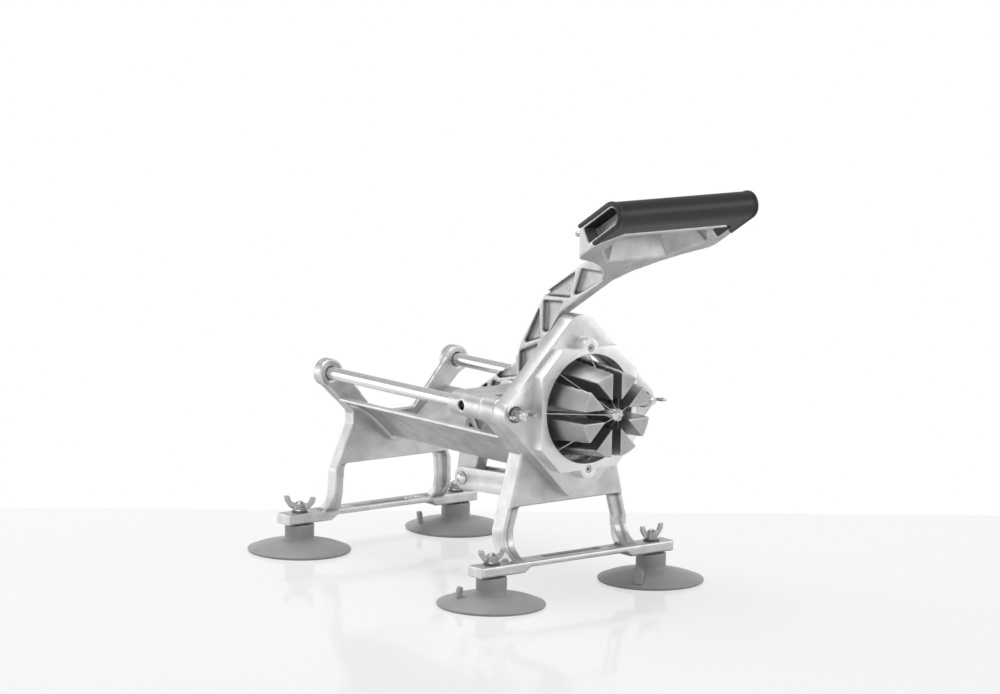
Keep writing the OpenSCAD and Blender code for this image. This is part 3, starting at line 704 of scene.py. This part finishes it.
@dataclass(frozen=True)
class SuctionCup:
    """A rubber cup with a round post and a pull tab.

    Attributes:
        node: The CAD node that it stands for.
        x: Its place in the row frame, in millimetres.
        y: The same along Y.
        tab: The direction of its pull tab, in degrees.
        tab_r: The tab's distance from the middle.
        lean: How far the tab leans towards the post, in degrees.
        height: The post's height.
        tab_foot: The height that the tab turns about.
        tab_half: Half the tab's thickness.
    """

    node: str
    x: float
    y: float
    tab: float
    tab_r: float
    lean: float
    height: float = 27.2
    tab_foot: float = 5.5
    tab_half: float = 2.3

    def build(self) -> None:
        """Makes the cup."""
        blank = Blank()
        neck = eased(((14.75, 17.0), (14.85, 14.6), (15.7, 12.6), (18.2, 11.5), (24, 10.5), (32, 9.0),
                      (40, 7.0), (46, 4.9), (49.6, 3.2)))
        lip = [(50.0, 2.9), (50.5, 2.95)] + arc(50.9, 1.9, 1.1, 70, -50, 5) + [(51.2, 0.3), (50.6, 0.0)]
        under = eased(((50.2, 0.0), (46, 1.0), (38, 2.4), (24, 4.0), (0, 4.6)))
        post = [(0, self.height), (13.6, self.height)] + arc(13.95, 26.4, 0.8, 80, 0, 3) + [(14.75, 21)]
        blank.turned(post + neck + lip + under, spot(self.x, self.y, 0), 96)
        at = spot(self.x, self.y, 0, ("Z", self.tab)) @ Matrix.Translation((self.tab_r, 0, self.tab_foot))
        at = at @ Matrix.Rotation(math.radians(-self.lean), 4, "Y")
        at = at @ Matrix.Rotation(math.radians(90), 4, "Z") @ Matrix.Rotation(math.radians(90), 4, "X")
        tip = arc(0.9, 11.2, 3.0, 0, 90, 4) + arc(-0.9, 11.2, 3.0, 90, 180, 4)
        paddle = [(-4.6, -1.5), (4.6, -1.5), (3.9, 2.0)] + tip + [(-3.9, 2.0)]
        blank.cut(paddle, -self.tab_half, self.tab_half, at, 0.9, 3)
        blank.done(f"{self.node}_rubber", "frame", Look.RUBBER, "cup_rubber", self.node)


@dataclass(frozen=True)
class WingNut:
    """A pressed wing nut on a cone hub.

    Attributes:
        at: Its place, Z along its stud.
        stud: The stud's radius.
        wing_half: Half a wing's thickness.
        boss_half: Half the thickness of the round boss on a wing.
    """

    at: Matrix
    stud: float = 4.0
    wing_half: float = 1.3
    boss_half: float = 1.75

    def add(self, blank: Blank) -> None:
        """Adds the nut to a blank."""
        r = self.stud
        hub = [(r, 0.0), (r * 1.62, 0.0), (r * 1.66, 0.9), (r * 1.5, 1.5), (r * 1.42, 4.6), (r * 1.36, 6.4),
               (r * 1.4, 7.3), (r * 1.26, 8.0), (r * 1.06, 8.0), (r, 7.4)]
        blank.turned(hub, self.at, 32, ring=True)
        wing = [(r * 1.1, 0.9), (r * 1.55, 0.9)] + eased(((10.4, 3.0), (13.6, 6.6), (15.6, 9.4)), 4)
        wing += arc(14.7, 12.9, 1.7, 0, 95, 4) + arc(11.9, 12.9, 1.6, 100, 190, 4)
        wing += [(8.6, 8.6), (r * 1.1, 7.5)]
        for side in (0, 180):
            turn = Matrix.Rotation(math.radians(side), 4, "Z") @ Matrix.Rotation(math.radians(90), 4, "X")
            blank.cut(wing, -self.wing_half, self.wing_half, self.at @ turn, 0.7, 2)
            boss = arc(13.1, 11.2, 1.5, 0, 360, 12)[:-1]
            blank.cut(boss, -self.boss_half, self.boss_half, self.at @ turn, 0.4, 2)


def thread(r: float, low: float, high: float, pitch: float = 1.25) -> list[tuple[float, float]]:
    """A threaded stud's profile with a domed end.

    Args:
        r: The thread's outer radius.
        low: Where the thread starts.
        high: The stud's end.
        pitch: Distance from crest to crest.

    Returns:
        Radius and height of each point, up to the axis.
    """
    profile = []
    root, taper = r - 0.65, 1.2
    turns = int((high - taper - low) / pitch)
    for i in range(turns):
        z = low + i * pitch
        profile += [(root, z), (r, z + pitch * 0.45), (r, z + pitch * 0.6)]
    top = low + turns * pitch
    dome = [(r - 0.5, top + 0.4), (r - taper, high - 0.25), (r * 0.4, high), (0, high)]
    return profile + [(root, top)] + dome


@dataclass(frozen=True)
class Washer:
    """A flat washer with small bevels.

    Attributes:
        outer: Its outer radius.
        thick: Its thickness.
        inner: Its hole's radius.
        edge: The bevels' width.
    """

    outer: float
    thick: float
    inner: float = 4.1
    edge: float = 0.3

    def add(self, blank: Blank, at: Matrix, steps: int) -> None:
        """Adds the washer to a blank.

        Args:
            blank: The blank.
            at: The lower face's middle.
            steps: Sides of the round.
        """
        rim = self.outer - self.edge
        profile = [(self.inner, 0), (rim, 0), (self.outer, self.edge), (self.outer, self.thick - self.edge),
                   (rim, self.thick), (self.inner, self.thick)]
        blank.turned(profile, at, steps, ring=True)


@dataclass(frozen=True)
class Feet:
    """Cups, studs, washers and wing nuts under and on the foot bars.

    Attributes:
        cups: The four cups.
        turns: How each wing nut is turned, in degrees.
        stud: The studs' radius.
        stud_foot: Height of a stud's end inside its cup.
        thread_foot: Height at which its thread starts.
        stud_rise: How far a stud stands out of the bar.
        bar_top: Height of the bars' tops.
        under: The washers between cup and bar.
        over: The washers between bar and nut.
    """

    cups: tuple[SuctionCup, ...]
    turns: tuple[float, ...]
    stud: float = 3.95
    stud_foot: float = 15.0
    thread_foot: float = 45.0
    stud_rise: float = 11.0
    bar_top: float = 39.2
    under: Washer = Washer(9.0, 1.5)
    over: Washer = Washer(8.0, 1.2)

    def build(self) -> None:
        """Makes them all."""
        nuts, studs, rings = Blank(), Blank(), Blank()
        for cup, turn in zip(self.cups, self.turns):
            cup.build()
            WingNut(spot(cup.x, cup.y, self.bar_top + self.over.thick, ("Z", turn))).add(nuts)
            shank = [(0, self.stud_foot), (self.stud, self.stud_foot), (self.stud, self.thread_foot)]
            shank += thread(self.stud, self.thread_foot, self.bar_top + self.stud_rise)
            studs.turned(shank, spot(cup.x, cup.y, 0), 32)
            self.under.add(rings, spot(cup.x, cup.y, cup.height), 40)
            self.over.add(rings, spot(cup.x, cup.y, self.bar_top), 40)
        nuts.done("foot_nuts", "frame", Look.ZINC, "zinc", "foot_wing_nuts")
        studs.done("foot_threads", "frame", Look.ZINC, "zinc", "foot_studs")
        # the washers' dark finish paints the shadow line under the nuts
        rings.done("foot_rings", "frame", Look.DARK, "zinc", "foot_washers")


@dataclass(frozen=True)
class HolderHardware:
    """Wing nuts, washers and stud ends in front of the blade holder.

    Attributes:
        rod_x: Half the distance between the rods.
        front: The holder's front face along Y.
        height: The rods' height.
        stud: The radius of the rods' threaded ends.
        stud_end: How far they stand out of the holder.
        washer: The washer on each.
    """

    rod_x: float = 79.6
    front: float = -107.5
    height: float = 181.7
    stud: float = 3.95
    stud_end: float = 15.5
    washer: Washer = Washer(8.0, 1.2)

    def build(self) -> None:
        """Makes them all."""
        nuts, rings, ends = Blank(), Blank(), Blank()
        for x in (-self.rod_x, self.rod_x):
            face = spot(x, self.front, self.height, ("X", 90))
            self.washer.add(rings, face, 48)
            WingNut(spot(x, self.front - self.washer.thick, self.height, ("X", 90))).add(nuts)
            ends.turned([(0, 6.0), (3.2, 6.5)] + thread(self.stud, 7.0, self.stud_end), face, 32)
        # the washers' dark finish paints the shadow line under the nuts
        rings.done("holder_rings", "frame", Look.DARK, "zinc", "holder_washers")
        nuts.done("holder_nuts", "frame", Look.ZINC, "zinc", "holder_wing_nuts")
        ends.done("rod_threads", "frame", Look.CHROME, "screw_steel")


@dataclass(frozen=True)
class BladeStar:
    """Eight thin blades that run from the ring's wall forward to a hub, in millimetres.

    Attributes:
        count: Number of blades.
        hub: The hub's place in the row frame.
        wall: The cutting bore's radius.
        thick: A blade's thickness.
        tab: Where a blade's tab sits in the ring, behind the hub.
        tab_deep: How far the tab reaches into the ring's wall.
        core: Radius at which the blades end inside the hub.
        flats: The hub screw's raised marks.
    """

    count: int = 8
    hub: tuple[float, float, float] = (0.0, -162.5, 181.7)
    wall: float = 52.7
    thick: float = 0.9
    tab: tuple[float, float] = (47.0, 55.0)
    tab_deep: float = 2.0
    core: float = 4.5
    flats: int = 6

    def build(self) -> None:
        """Makes the blades with their hub, and the hub's screw."""
        star, screw = Blank(), Blank()
        near, far = self.tab
        deep, rim, core = self.wall + self.tab_deep, self.wall - 0.6, self.core
        blade = [(deep, near), (deep, far), (rim, far), (rim, 59.5)]
        blade += [(core, 19.0), (core, 2.0), (rim, 43.0), (rim, near)]
        for i in range(self.count):
            at = spot(*self.hub, ("Y", i * 360 / self.count))
            star.cut(blade, -self.thick / 2, self.thick / 2, at, 0.16, 1)
        ahead = spot(*self.hub, ("X", 90))
        star.turned([(0, -23.5), (4.6, -23.5), (5.5, -22.5), (5.5, -2.4), (5.1, -1.6), (0, -1.6)], ahead, 40)
        dome = arc(0, -3.1, 6.9, 24, 62, 6)
        head = [(0, -1.6), (5.6, -1.6), (6.1, -1.1), (6.2, -0.5)] + dome + [(2.9, 2.7), (2.3, 0.8), (0, 0.5)]
        screw.turned(head, ahead, 40)
        for i in range(self.flats):
            at = ahead @ Matrix.Rotation(math.radians(i * 360 / self.flats), 4, "Z")
            screw.cut([(3.6, -0.6), (5.4, -0.9), (5.4, 0.9), (3.6, 0.6)], 0.4, 2.1, at, 0.25, 2)
        star.done("blade_star", "frame", Look.BLADE, "blade_steel", "wedge_blades")
        screw.done("hub_cap_screw", "frame", Look.CHROME, "screw_steel", "hub_screw")


@dataclass(frozen=True)
class GripSleeve:
    """The vinyl sleeve round the yoke's nose, with a rolled lip at each end.

    Attributes:
        half: Half its length.
        nose: The nose's radius.
        wall: The wall's thickness.
        top: How far back the upper flap reaches.
        middle_low: How far back the lower flap reaches in the middle.
        end_low: The same at the ends.
        slant: Length across which the lower flap widens.
        steps: Half the sides of the round nose.
    """

    half: float = 83.5
    nose: float = 13.5
    wall: float = 3.0
    top: float = 47.0
    middle_low: float = 15.0
    end_low: float = 36.0
    slant: float = 20.5
    steps: int = 14

    def _low(self, x: float) -> float:
        """How far back the lower flap reaches at a place across the grip."""
        slope = (self.end_low - self.middle_low) / self.slant
        return self.middle_low + min(self.slant, max(0.0, abs(x) - self.half + self.slant)) * slope

    def _section(self, x: float, grow: float, tuck: float) -> list[Vector]:
        """The sleeve's outline at one station, t back and n up.

        Args:
            x: The station.
            grow: How far the skin stands out there.
            tuck: How far the inside turns in there.

        Returns:
            The outline's points, outside first, then back along the inside.
        """
        out, inside = self.nose + grow, self.nose - self.wall - tuck
        low, top = self._low(x), self.top
        skin = [(top - 1.0, inside + 0.6), (top - 0.2, inside + 1.6), (top - 0.7, out - 0.4)]
        skin += [(top - 1.8, out), (top * 0.5, out)] + arc(0, 0, out, 90, 270, self.steps * 2)
        skin += [(low * 0.5, -out), (low - 1.4, -out), (low - 0.2, -out + 0.9), (low - 0.3, -inside - 0.7)]
        skin += [(low - 1.2, -inside), (low * 0.5, -inside)]
        skin += arc(0, 0, inside, 270, 90, self.steps * 2) + [(top * 0.5, inside)]
        return [Vector((x, t, n)) for t, n in skin]

    def build(self) -> None:
        """Makes the sleeve."""
        # the rolled lip: distance from the end, how far the skin stands out, how far the inside turns in
        lip = ((-1.3, -1.2, 1.0), (-1.0, -0.5, 1.3), (-0.3, -0.15, 1.6), (-0.06, -0.1, 1.6),
               (-0.05, -0.1, 0.0), (1.4, 0.0, 0.0), (2.6, -0.15, 0.0), (3.4, -0.65, 0.0), (4.2, -0.8, 0.0),
               (5.6, -0.7, 0.0))
        half = [(-self.half + inset, grow, tuck) for inset, grow, tuck in lip]
        knee = -self.half + self.slant
        plain = (-self.half + 12, knee - 4, knee - 1.5, knee, knee + 2, knee + 5, -30, -10)
        half += [(x, -0.7, 0.0) for x in plain]
        stations = half + [(-x, grow, tuck) for x, grow, tuck in reversed(half)]
        made = bmesh.new()
        loops = []
        for station in stations:
            ring = [made.verts.new(p) for p in self._section(*station)]
            loops.append([made.edges.new((ring[i - 1], ring[i])) for i in range(len(ring))])
        for near, far in zip(loops, loops[1:]):
            bmesh.ops.bridge_loops(made, edges=near + far)
        bmesh.ops.contextual_create(made, geom=loops[0])
        bmesh.ops.contextual_create(made, geom=loops[-1])
        blank = Blank()
        blank.take(made, spot(*YOKE))
        blank.done("grip_vinyl", "lever", Look.VINYL, "grip_black", "grip_sleeve")
        # dark plates that paint the shade inside the yoke
        self._painted_shade_plates()

    def _painted_shade_plates(self) -> None:
        """Black plates that paint the shade under the roofs of the yoke's ends, in their slots and in the
        window.
        """
        blank = Blank()
        at = spot(*YOKE)
        turned = at @ Matrix.Rotation(math.radians(90), 4, "Y")
        slot = arc(3.0, -4.2, 1.8, -90, 90, 8) + arc(-3.4, -4.2, 1.8, 90, 270, 8)
        for side in (-1, 1):
            # a plate under each end's roof and a band along its web paint the shade there
            roof = [(side * 68.7, -3.5), (side * 83.1, -3.5), (side * 83.1, 41.2), (side * 68.7, 41.2)]
            blank.cut(roof, 6.6, 7.43, at)
            band = [(side * 68.3, -2.0), (side * 69.2, -2.0), (side * 69.2, 41.2), (side * 68.3, 41.2)]
            blank.cut(band, 5.4, 7.43, at)
            # a dark slot-shaped plate paints the shade of a hole at the nose
            blank.cut(slot, side * 68.3, side * 69.2, turned)
        # a dark plate in the window paints the shade of the hollow behind it
        window = [(48.0, 18.8), (71.2, 18.8), (71.2, 40.4)]
        blank.cut(window, -13.42, -3.0, at)
        blank.done("yoke_shade_plates", "lever", Look.LINING, "grip_black")


@dataclass(frozen=True)
class LinkHardware:
    """Polished heads, pins and the nut of the links' pivots, and the yoke's end screws.

    Attributes:
        low: The lever's pivot on the links, along Y and Z.
        front: The links' pivot on the frame, along Y and Z.
        out: The links' outer faces along X.
        pin: The pins' radius.
        thread_from: Where the front bolt's thread starts along X.
        thread_to: Where it ends.
        nut_r: The nut's radius over its corners.
        nut_thick: The nut's thickness.
        knob: An end screw's place on the yoke.
        knob_turn: How far it is turned outwards, in degrees.
    """

    low: tuple[float, float] = (58.5, 88.0)
    front: tuple[float, float] = (-70.5, 95.0)
    out: float = 11.5
    pin: float = 3.95
    thread_from: float = 14.5
    thread_to: float = 20.4
    nut_r: float = 7.5
    nut_thick: float = 6.5
    knob: tuple[float, float, float] = (76.0, -195.56, 362.2)
    knob_turn: float = 22.4

    def _pin(self, blank: Blank, at: Matrix, low: float, high: float) -> None:
        """Adds a plain pin along its Z."""
        blank.turned([(0, low), (self.pin, low), (self.pin, high), (0, high)], at, 32)

    def build(self) -> None:
        """Makes them all."""
        pins, front, nut, knobs = Blank(), Blank(), Blank(), Blank()
        dome = [(0, 0), (6.8, 0), (6.95, 0.5)] + arc(0, -4.6, 8.7, 36, 84, 8) + [(0, 4.1)]
        for side in (-1, 1):
            at = spot(side * self.out, *self.low, ("Y", side * 90))
            pins.turned(dome, at, 48)
            self._pin(pins, at, -4.1, 0.2)
            x, y, z = self.knob
            at = spot(side * x, y, z, ("Z", -side * self.knob_turn), ("X", -90))
            shank = [(0, -8), (1.5, -8), (1.5, 0)]
            head = [(2.3, 0.1), (2.6, 0.5), (2.6, 4.6), (2.2, 5.7), (1.2, 6.1), (0, 6.1)]
            knobs.turned(shank + head, at, 24)
        bolt = spot(0, *self.front, ("Y", 90))
        front.turned(dome, spot(-self.out, *self.front, ("Y", -90)), 48)
        self._pin(front, bolt, -self.out, self.thread_from + 0.5)
        stud = thread(self.pin, self.thread_from, self.thread_to)
        front.turned([(0, self.thread_from)] + stud, bolt, 32)
        nut.cut(arc(0, 0, self.nut_r, 0, 300, 5), self.out, self.out + self.nut_thick, bolt, 0.5, 2)
        pins.done("link_domes", "links", Look.CHROME, "screw_steel", "link_rear_pins")
        front.done("link_bolt", "frame", Look.CHROME, "screw_steel", "link_front_bolt")
        nut.done("link_nut", "frame", Look.ZINC, "zinc", "link_front_nut")
        knobs.done("yoke_screws", "lever", Look.ZINC, "screw_steel", "grip_screws")


@dataclass(frozen=True)
class LeverMarks:
    """Round marks that the casting mould left in the arm's pockets.

    Attributes:
        web: Half the thickness of the arm's web.
        places: Their places along Y and Z.
    """

    web: float = 1.6
    places: tuple[tuple[float, float], ...] = ((-87.3, 294.0), (-47.3, 244.9))

    def build(self) -> None:
        """Makes them on both sides of the web."""
        blank = Blank()
        for y, z in self.places:
            for side in (-1, 1):
                ring = [(2.3, -0.2), (3.3, -0.2), (3.3, 0.25), (3.0, 0.5), (2.6, 0.5), (2.3, 0.25)]
                blank.turned(ring, spot(side * self.web, y, z, ("Y", side * 90)), 32, ring=True)
        blank.done("mould_marks", "lever", Look.ARM, "cast_lever")


# ---------------------------------------------------------------- studio


@dataclass(frozen=True)
class Softbox:
    """One square soft light.

    Attributes:
        name: The light's name.
        place: Where it stands.
        aim: What it points at.
        size: Its edge length.
        watts: Its power.
    """

    name: str
    place: Vector
    aim: Vector
    size: float
    watts: float

    def build(self) -> None:
        """Adds the light."""
        data = bpy.data.lights.new(self.name, "AREA")
        data.size = self.size
        data.energy = self.watts
        lamp = bpy.data.objects.new(self.name, data)
        lamp.location = self.place
        lamp.rotation_mode = "QUATERNION"
        lamp.rotation_quaternion = (self.aim - self.place).to_track_quat("-Z", "Y")
        bpy.context.scene.collection.objects.link(lamp)


@dataclass(frozen=True)
class Studio:
    """Camera, table, white surround and soft lights.

    Attributes:
        lens: Focal length on a 36 mm sensor.
        eye: The camera's place.
        right: The picture's horizontal.
        up: The picture's vertical.
        back: Direction from the object to the camera.
        table: The table top's corners.
        far_side: Greys by height that metal mirrors to the camera's left.
        near_side: The same to the camera's right.
        lights: The soft lights.
        soft_light: How strongly the surround lights what isn't mirror like.
        table_tone: The table's colour.
        table_rough: Its roughness.
        table_ior: Its index of refraction.
        table_white: The share of plain white that the camera sees in it.
    """

    lens: float
    eye: Vector
    right: Vector
    up: Vector
    back: Vector
    table: tuple[tuple[float, float, float], ...]
    far_side: tuple[tuple[float, float], ...]
    near_side: tuple[tuple[float, float], ...]
    lights: tuple[Softbox, ...]
    soft_light: float = 0.6
    table_tone: tuple[float, float, float, float] = (0.80, 0.80, 0.805, 1)
    table_rough: float = 0.07
    table_ior: float = 1.3
    table_white: float = 0.55

    def camera(self) -> None:
        """Puts the camera where the photograph was taken from."""
        data = bpy.data.cameras.new("photo_camera")
        data.sensor_width = 36.0
        data.lens = self.lens
        data.clip_start, data.clip_end = 0.1, 50.0
        cam = bpy.data.objects.new("photo_camera", data)
        turn = Matrix((self.right, self.up, self.back)).transposed().to_4x4()
        cam.matrix_world = Matrix.Translation(self.eye) @ turn
        bpy.context.scene.collection.objects.link(cam)
        bpy.context.scene.camera = cam

    @staticmethod
    def _heights(tree: bpy.types.NodeTree, stops: tuple[tuple[float, float], ...]) -> bpy.types.Node:
        """A ramp of greys by height.

        Args:
            tree: The world's node tree.
            stops: Heights from -1 to 1, each with its grey.

        Returns:
            The ramp.
        """
        ramp = add_node(tree, "ShaderNodeValToRGB")
        made = ramp.color_ramp.elements
        made.remove(made[1])
        for index, (where, grey) in enumerate(stops):
            stop = made[0] if index == 0 else made.new(where / 2 + 0.5)
            stop.position = where / 2 + 0.5
            stop.color = (grey, grey, grey, 1)
        return ramp

    def world(self) -> None:
        """A surround that is white to the camera, soft as light, and grey by height in the metal."""
        world = bpy.data.worlds.new("white_surround")
        bpy.context.scene.world = world
        world.use_nodes = True
        tree = world.node_tree
        tree.nodes.clear()
        path = add_node(tree, "ShaderNodeLightPath")
        place = add_node(tree, "ShaderNodeTexCoord")
        turned = add_node(tree, "ShaderNodeSeparateXYZ")
        tree.links.new(place.outputs["Generated"], turned.inputs[0])
        height = add_node(tree, "ShaderNodeMapRange", From_Min=-1.0, From_Max=1.0)
        tree.links.new(turned.outputs["Z"], height.inputs["Value"])
        toward = add_node(tree, "ShaderNodeVectorMath", operation="DOT_PRODUCT")
        toward.inputs[1].default_value = SIDEWAYS
        tree.links.new(place.outputs["Generated"], toward.inputs[0])
        side = add_node(tree, "ShaderNodeMapRange", From_Min=-0.5, From_Max=0.5)
        tree.links.new(toward.outputs["Value"], side.inputs["Value"])
        glossy = add_node(tree, "ShaderNodeMixShader")
        tree.links.new(side.outputs[0], glossy.inputs[0])
        for shader_input, stops in enumerate((self.far_side, self.near_side), 1):
            ramp = self._heights(tree, stops)
            tree.links.new(height.outputs[0], ramp.inputs["Fac"])
            card = add_node(tree, "ShaderNodeBackground", Strength=1.0)
            join(tree, ramp, "Color", card, "Color")
            tree.links.new(card.outputs[0], glossy.inputs[shader_input])
        soft = add_node(tree, "ShaderNodeBackground", Strength=self.soft_light, Color=WHITE)
        seen = add_node(tree, "ShaderNodeBackground", Strength=1.0, Color=WHITE)
        first = add_node(tree, "ShaderNodeMixShader")
        second = add_node(tree, "ShaderNodeMixShader")
        tree.links.new(path.outputs["Is Glossy Ray"], first.inputs[0])
        tree.links.new(soft.outputs[0], first.inputs[1])
        tree.links.new(glossy.outputs[0], first.inputs[2])
        tree.links.new(path.outputs["Is Camera Ray"], second.inputs[0])
        tree.links.new(first.outputs[0], second.inputs[1])
        tree.links.new(seen.outputs[0], second.inputs[2])
        out = add_node(tree, "ShaderNodeOutputWorld")
        tree.links.new(second.outputs[0], out.inputs["Surface"])

    def _mirrored(self, tree: bpy.types.NodeTree, path: bpy.types.Node) -> bpy.types.NodeSocket:
        """How white the table looks in the metal, which sees it at a low angle on the left.

        Args:
            tree: The table's node tree.
            path: Its Light Path node.

        Returns:
            The share of plain white.
        """
        place = add_node(tree, "ShaderNodeTexCoord")
        along = add_node(tree, "ShaderNodeVectorMath", operation="DOT_PRODUCT")
        along.inputs[1].default_value = [-part for part in SIDEWAYS]
        join(tree, place, "Object", along, 0)
        left = add_node(tree, "ShaderNodeMapRange", From_Min=-0.1, From_Max=0.35)
        join(tree, along, "Value", left, "Value")
        low = add_node(tree, "ShaderNodeLayerWeight", Blend=0.5)
        flat = add_node(tree, "ShaderNodeMapRange", From_Min=0.5, From_Max=0.85)
        join(tree, low, "Facing", flat, "Value")
        share = path.outputs["Is Glossy Ray"]
        for part in (left.outputs["Result"], flat.outputs["Result"]):
            product = add_node(tree, "ShaderNodeMath", operation="MULTIPLY")
            tree.links.new(share, product.inputs[0])
            tree.links.new(part, product.inputs[1])
            share = product.outputs[0]
        return share

    def floor(self) -> None:
        """A glossy white table top that ends behind the cutter."""
        bm = bmesh.new()
        corners = [bm.verts.new(p) for p in self.table]
        bm.faces.new(corners)
        bmesh.ops.recalc_face_normals(bm, faces=bm.faces)
        mesh = bpy.data.meshes.new("table_top")
        bm.to_mesh(mesh)
        bm.free()
        top = bpy.data.objects.new("table_top", mesh)
        bpy.context.scene.collection.objects.link(top)
        made = bpy.data.materials.new("glossy_white")
        made.use_nodes = True
        tree = made.node_tree
        shader = tree.nodes["Principled BSDF"]
        shader.inputs["Base Color"].default_value = self.table_tone
        shader.inputs["Roughness"].default_value = self.table_rough
        shader.inputs["IOR"].default_value = self.table_ior
        path = add_node(tree, "ShaderNodeLightPath")
        share = add_node(tree, "ShaderNodeMath", operation="MULTIPLY_ADD")
        share.inputs[1].default_value = self.table_white
        tree.links.new(path.outputs["Is Camera Ray"], share.inputs[0])
        tree.links.new(self._mirrored(tree, path), share.inputs[2])
        glow = add_node(tree, "ShaderNodeEmission", Strength=1.0)
        mix = add_node(tree, "ShaderNodeMixShader")
        tree.links.new(share.outputs[0], mix.inputs[0])
        tree.links.new(shader.outputs[0], mix.inputs[1])
        tree.links.new(glow.outputs[0], mix.inputs[2])
        join(tree, mix, "Shader", tree.nodes["Material Output"], "Surface")
        top.data.materials.append(made)

    def build(self) -> None:
        """Sets the whole studio up."""
        scene = bpy.context.scene
        scene.view_settings.view_transform = "Standard"
        self.camera()
        self.world()
        self.floor()
        for softbox in self.lights:
            softbox.build()


def main() -> None:
    """Loads the frame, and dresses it."""
    logging.basicConfig(level=logging.INFO, format="%(message)s")
    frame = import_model()
    Studio(**STUDIO).build()

    for node, body, look, slot, voxel, rounds in CASTINGS:
        CastPiece(frame, node, body, look, slot).cast(voxel, rounds, ARM if node == "lever" else None)
    for node, body, look, slot, width in MACHINED:
        CastPiece(frame, node, body, look, slot).machined(width)
    assemblies = (
        Feet(CUPS, NUT_TURNS), HolderHardware(), BladeStar(), GripSleeve(), LinkHardware(), LeverMarks())
    for assembly in assemblies:
        assembly.build()
    for node, look in DRESSED.items():
        obj = frame["nodes"][node]
        obj.data.materials.clear()
        obj.data.materials.append(look.get())


STUDIO = dict(
    lens=148.386,
    eye=Vector((-2.490702, -3.070407, 0.843516)),
    right=Vector((0.779626, -0.626045, 0.01587)),
    up=Vector((0.084566, 0.130354, 0.987854)),
    back=Vector((-0.62051, -0.768814, 0.154569)),
    table=((-1.5021, 1.5052, 0.0), (-5.2705, -3.1638, 0.0), (-1.8766, -5.6776, 0.0), (1.8918, -1.0086, 0.0)),
    far_side=((-1.0, 0.3), (-0.35, 0.4), (-0.15, 1.0), (0.22, 1.0), (0.45, 0.45), (1.0, 0.3)),
    near_side=((-1.0, 0.35), (-0.1, 0.55), (0.1, 0.95), (0.35, 0.8), (0.6, 0.5), (1.0, 0.4)),
    lights=(
        Softbox("top_softbox", Vector((-0.4, 0.5, 2.2)), Vector((0, 0, 0.18)), 1.8, 25.0),
        Softbox("left_softbox", Vector((-1.6, 2.0, 0.4)), Vector((0, 0, 0.1)), 1.2, 6.0),
        Softbox("right_softbox", Vector((1.6, -2.0, 1.1)), Vector((0, 0, 0.18)), 1.0, 9.0),
    ),
)

# node, body, finish, slot, the skin's grid, how often it is relaxed
CASTINGS = (
    ("front_frame", "frame", Look.CAST, "cast_frame", 1.25 * MM, 3),
    ("rear_frame", "frame", Look.CAST, "cast_frame", 1.25 * MM, 3),
    ("trough", "frame", Look.CAST, "cast_frame", 1.25 * MM, 2),
    ("carriage", "carriage", Look.CAST, "cast_frame", 1.0 * MM, 3),
    ("pusher_block", "carriage", Look.FINGER, "pusher_grey", 1.1 * MM, 2),
    ("lever", "lever", Look.ARM, "cast_lever", 1.05 * MM, 3),
)

# node, body, finish, slot, width of the rounded edges
MACHINED = (
    ("blade_holder", "frame", Look.CAST, "cast_frame", 1.5 * MM),
    ("blade_ring", "frame", Look.RING, "cast_ring", 0.9 * MM),
    ("link_left", "links", Look.CAST, "cast_lever", 0.8 * MM),
    ("link_right", "links", Look.CAST, "cast_lever", 0.8 * MM),
)

ARM = ArmPockets(
    filled=(
        ((-157.8, 320.0), (-121.9, 298.1), (-145.2, 334.9)),
        ((-114.2, 293.5), (-140.0, 331.9), (-99.0, 307.0)),
        ((-105.4, 288.7), (-84.9, 276.2), (-56.5, 242.0), (-94.9, 302.2)),
        ((-87.5, 298.9), (-67.9, 286.9), (-27.5, 236.0), (-49.5, 242.0)),
        ((-50.5, 232.0), (-26.5, 229.0), (-21.5, 203.0), (-34.5, 205.0)),
        ((-16.5, 215.0), (-9.5, 201.0), (11.5, 195.0)),
        ((3.5, 186.0), (17.5, 190.0), (32.5, 182.0), (27.5, 176.0)),
    ),
    outlines=(
        ((-112.5, 315.5), (-150.5, 316.0), (-152.5, 313.5), (-150.5, 312.0), (-111.0, 292.0),
         (-101.5, 289.0)),
        ((-104.5, 312.5), (-59.0, 286.0), (-60.0, 283.5), (-97.0, 286.0)),
        ((-57.0, 278.5), (-87.5, 281.0), (-64.5, 249.0), (-56.5, 248.5)),
        ((-51.5, 272.5), (-53.0, 242.0), (-28.5, 233.5)),
        ((-22.5, 225.0), (-50.5, 236.0), (-42.5, 221.0), (-22.0, 203.0)),
        ((-15.5, 218.0), (-18.0, 216.0), (-18.0, 200.0), (7.5, 194.5), (14.0, 195.0)),
        ((18.5, 190.5), (-3.0, 188.0), (-1.5, 184.5), (21.5, 182.5)),
        ((26.0, 187.5), (38.5, 180.5), (27.0, 181.5)),
    ),
)

# the grip's middle and tilt, where the yoke's own frame starts
YOKE = (0.0, -246.0, 384.7, ("X", -31.3))

CUPS = (
    SuctionCup("suction_cup_front_left", -99.5, -100.5, 159.0, 34.0, 14.0),
    SuctionCup("suction_cup_front_right", 99.5, -100.5, 214.0, 45.0, 22.0),
    SuctionCup("suction_cup_rear_left", -99.5, 207.5, 60.0, 38.0, 12.0),
    SuctionCup("suction_cup_rear_right", 99.5, 207.5, 160.0, 38.0, -6.0),
)
NUT_TURNS = (0.0, 8.0, 128.0, -10.0)

# the bushes' bronze is darkened to paint the shade in their holes
DRESSED = {
    "guide_rod_left": Look.ROD, "guide_rod_right": Look.ROD, "rod_nuts": Look.ZINC,
    "ring_screws": Look.SCREW, "slide_bushings": Look.BRONZE, "pusher_screws": Look.SCREW,
    "lever_pin": Look.ROD, "pin_ring": Look.ZINC, "lever_bush": Look.BRONZE,
}


if __name__ == "__main__":
    main()
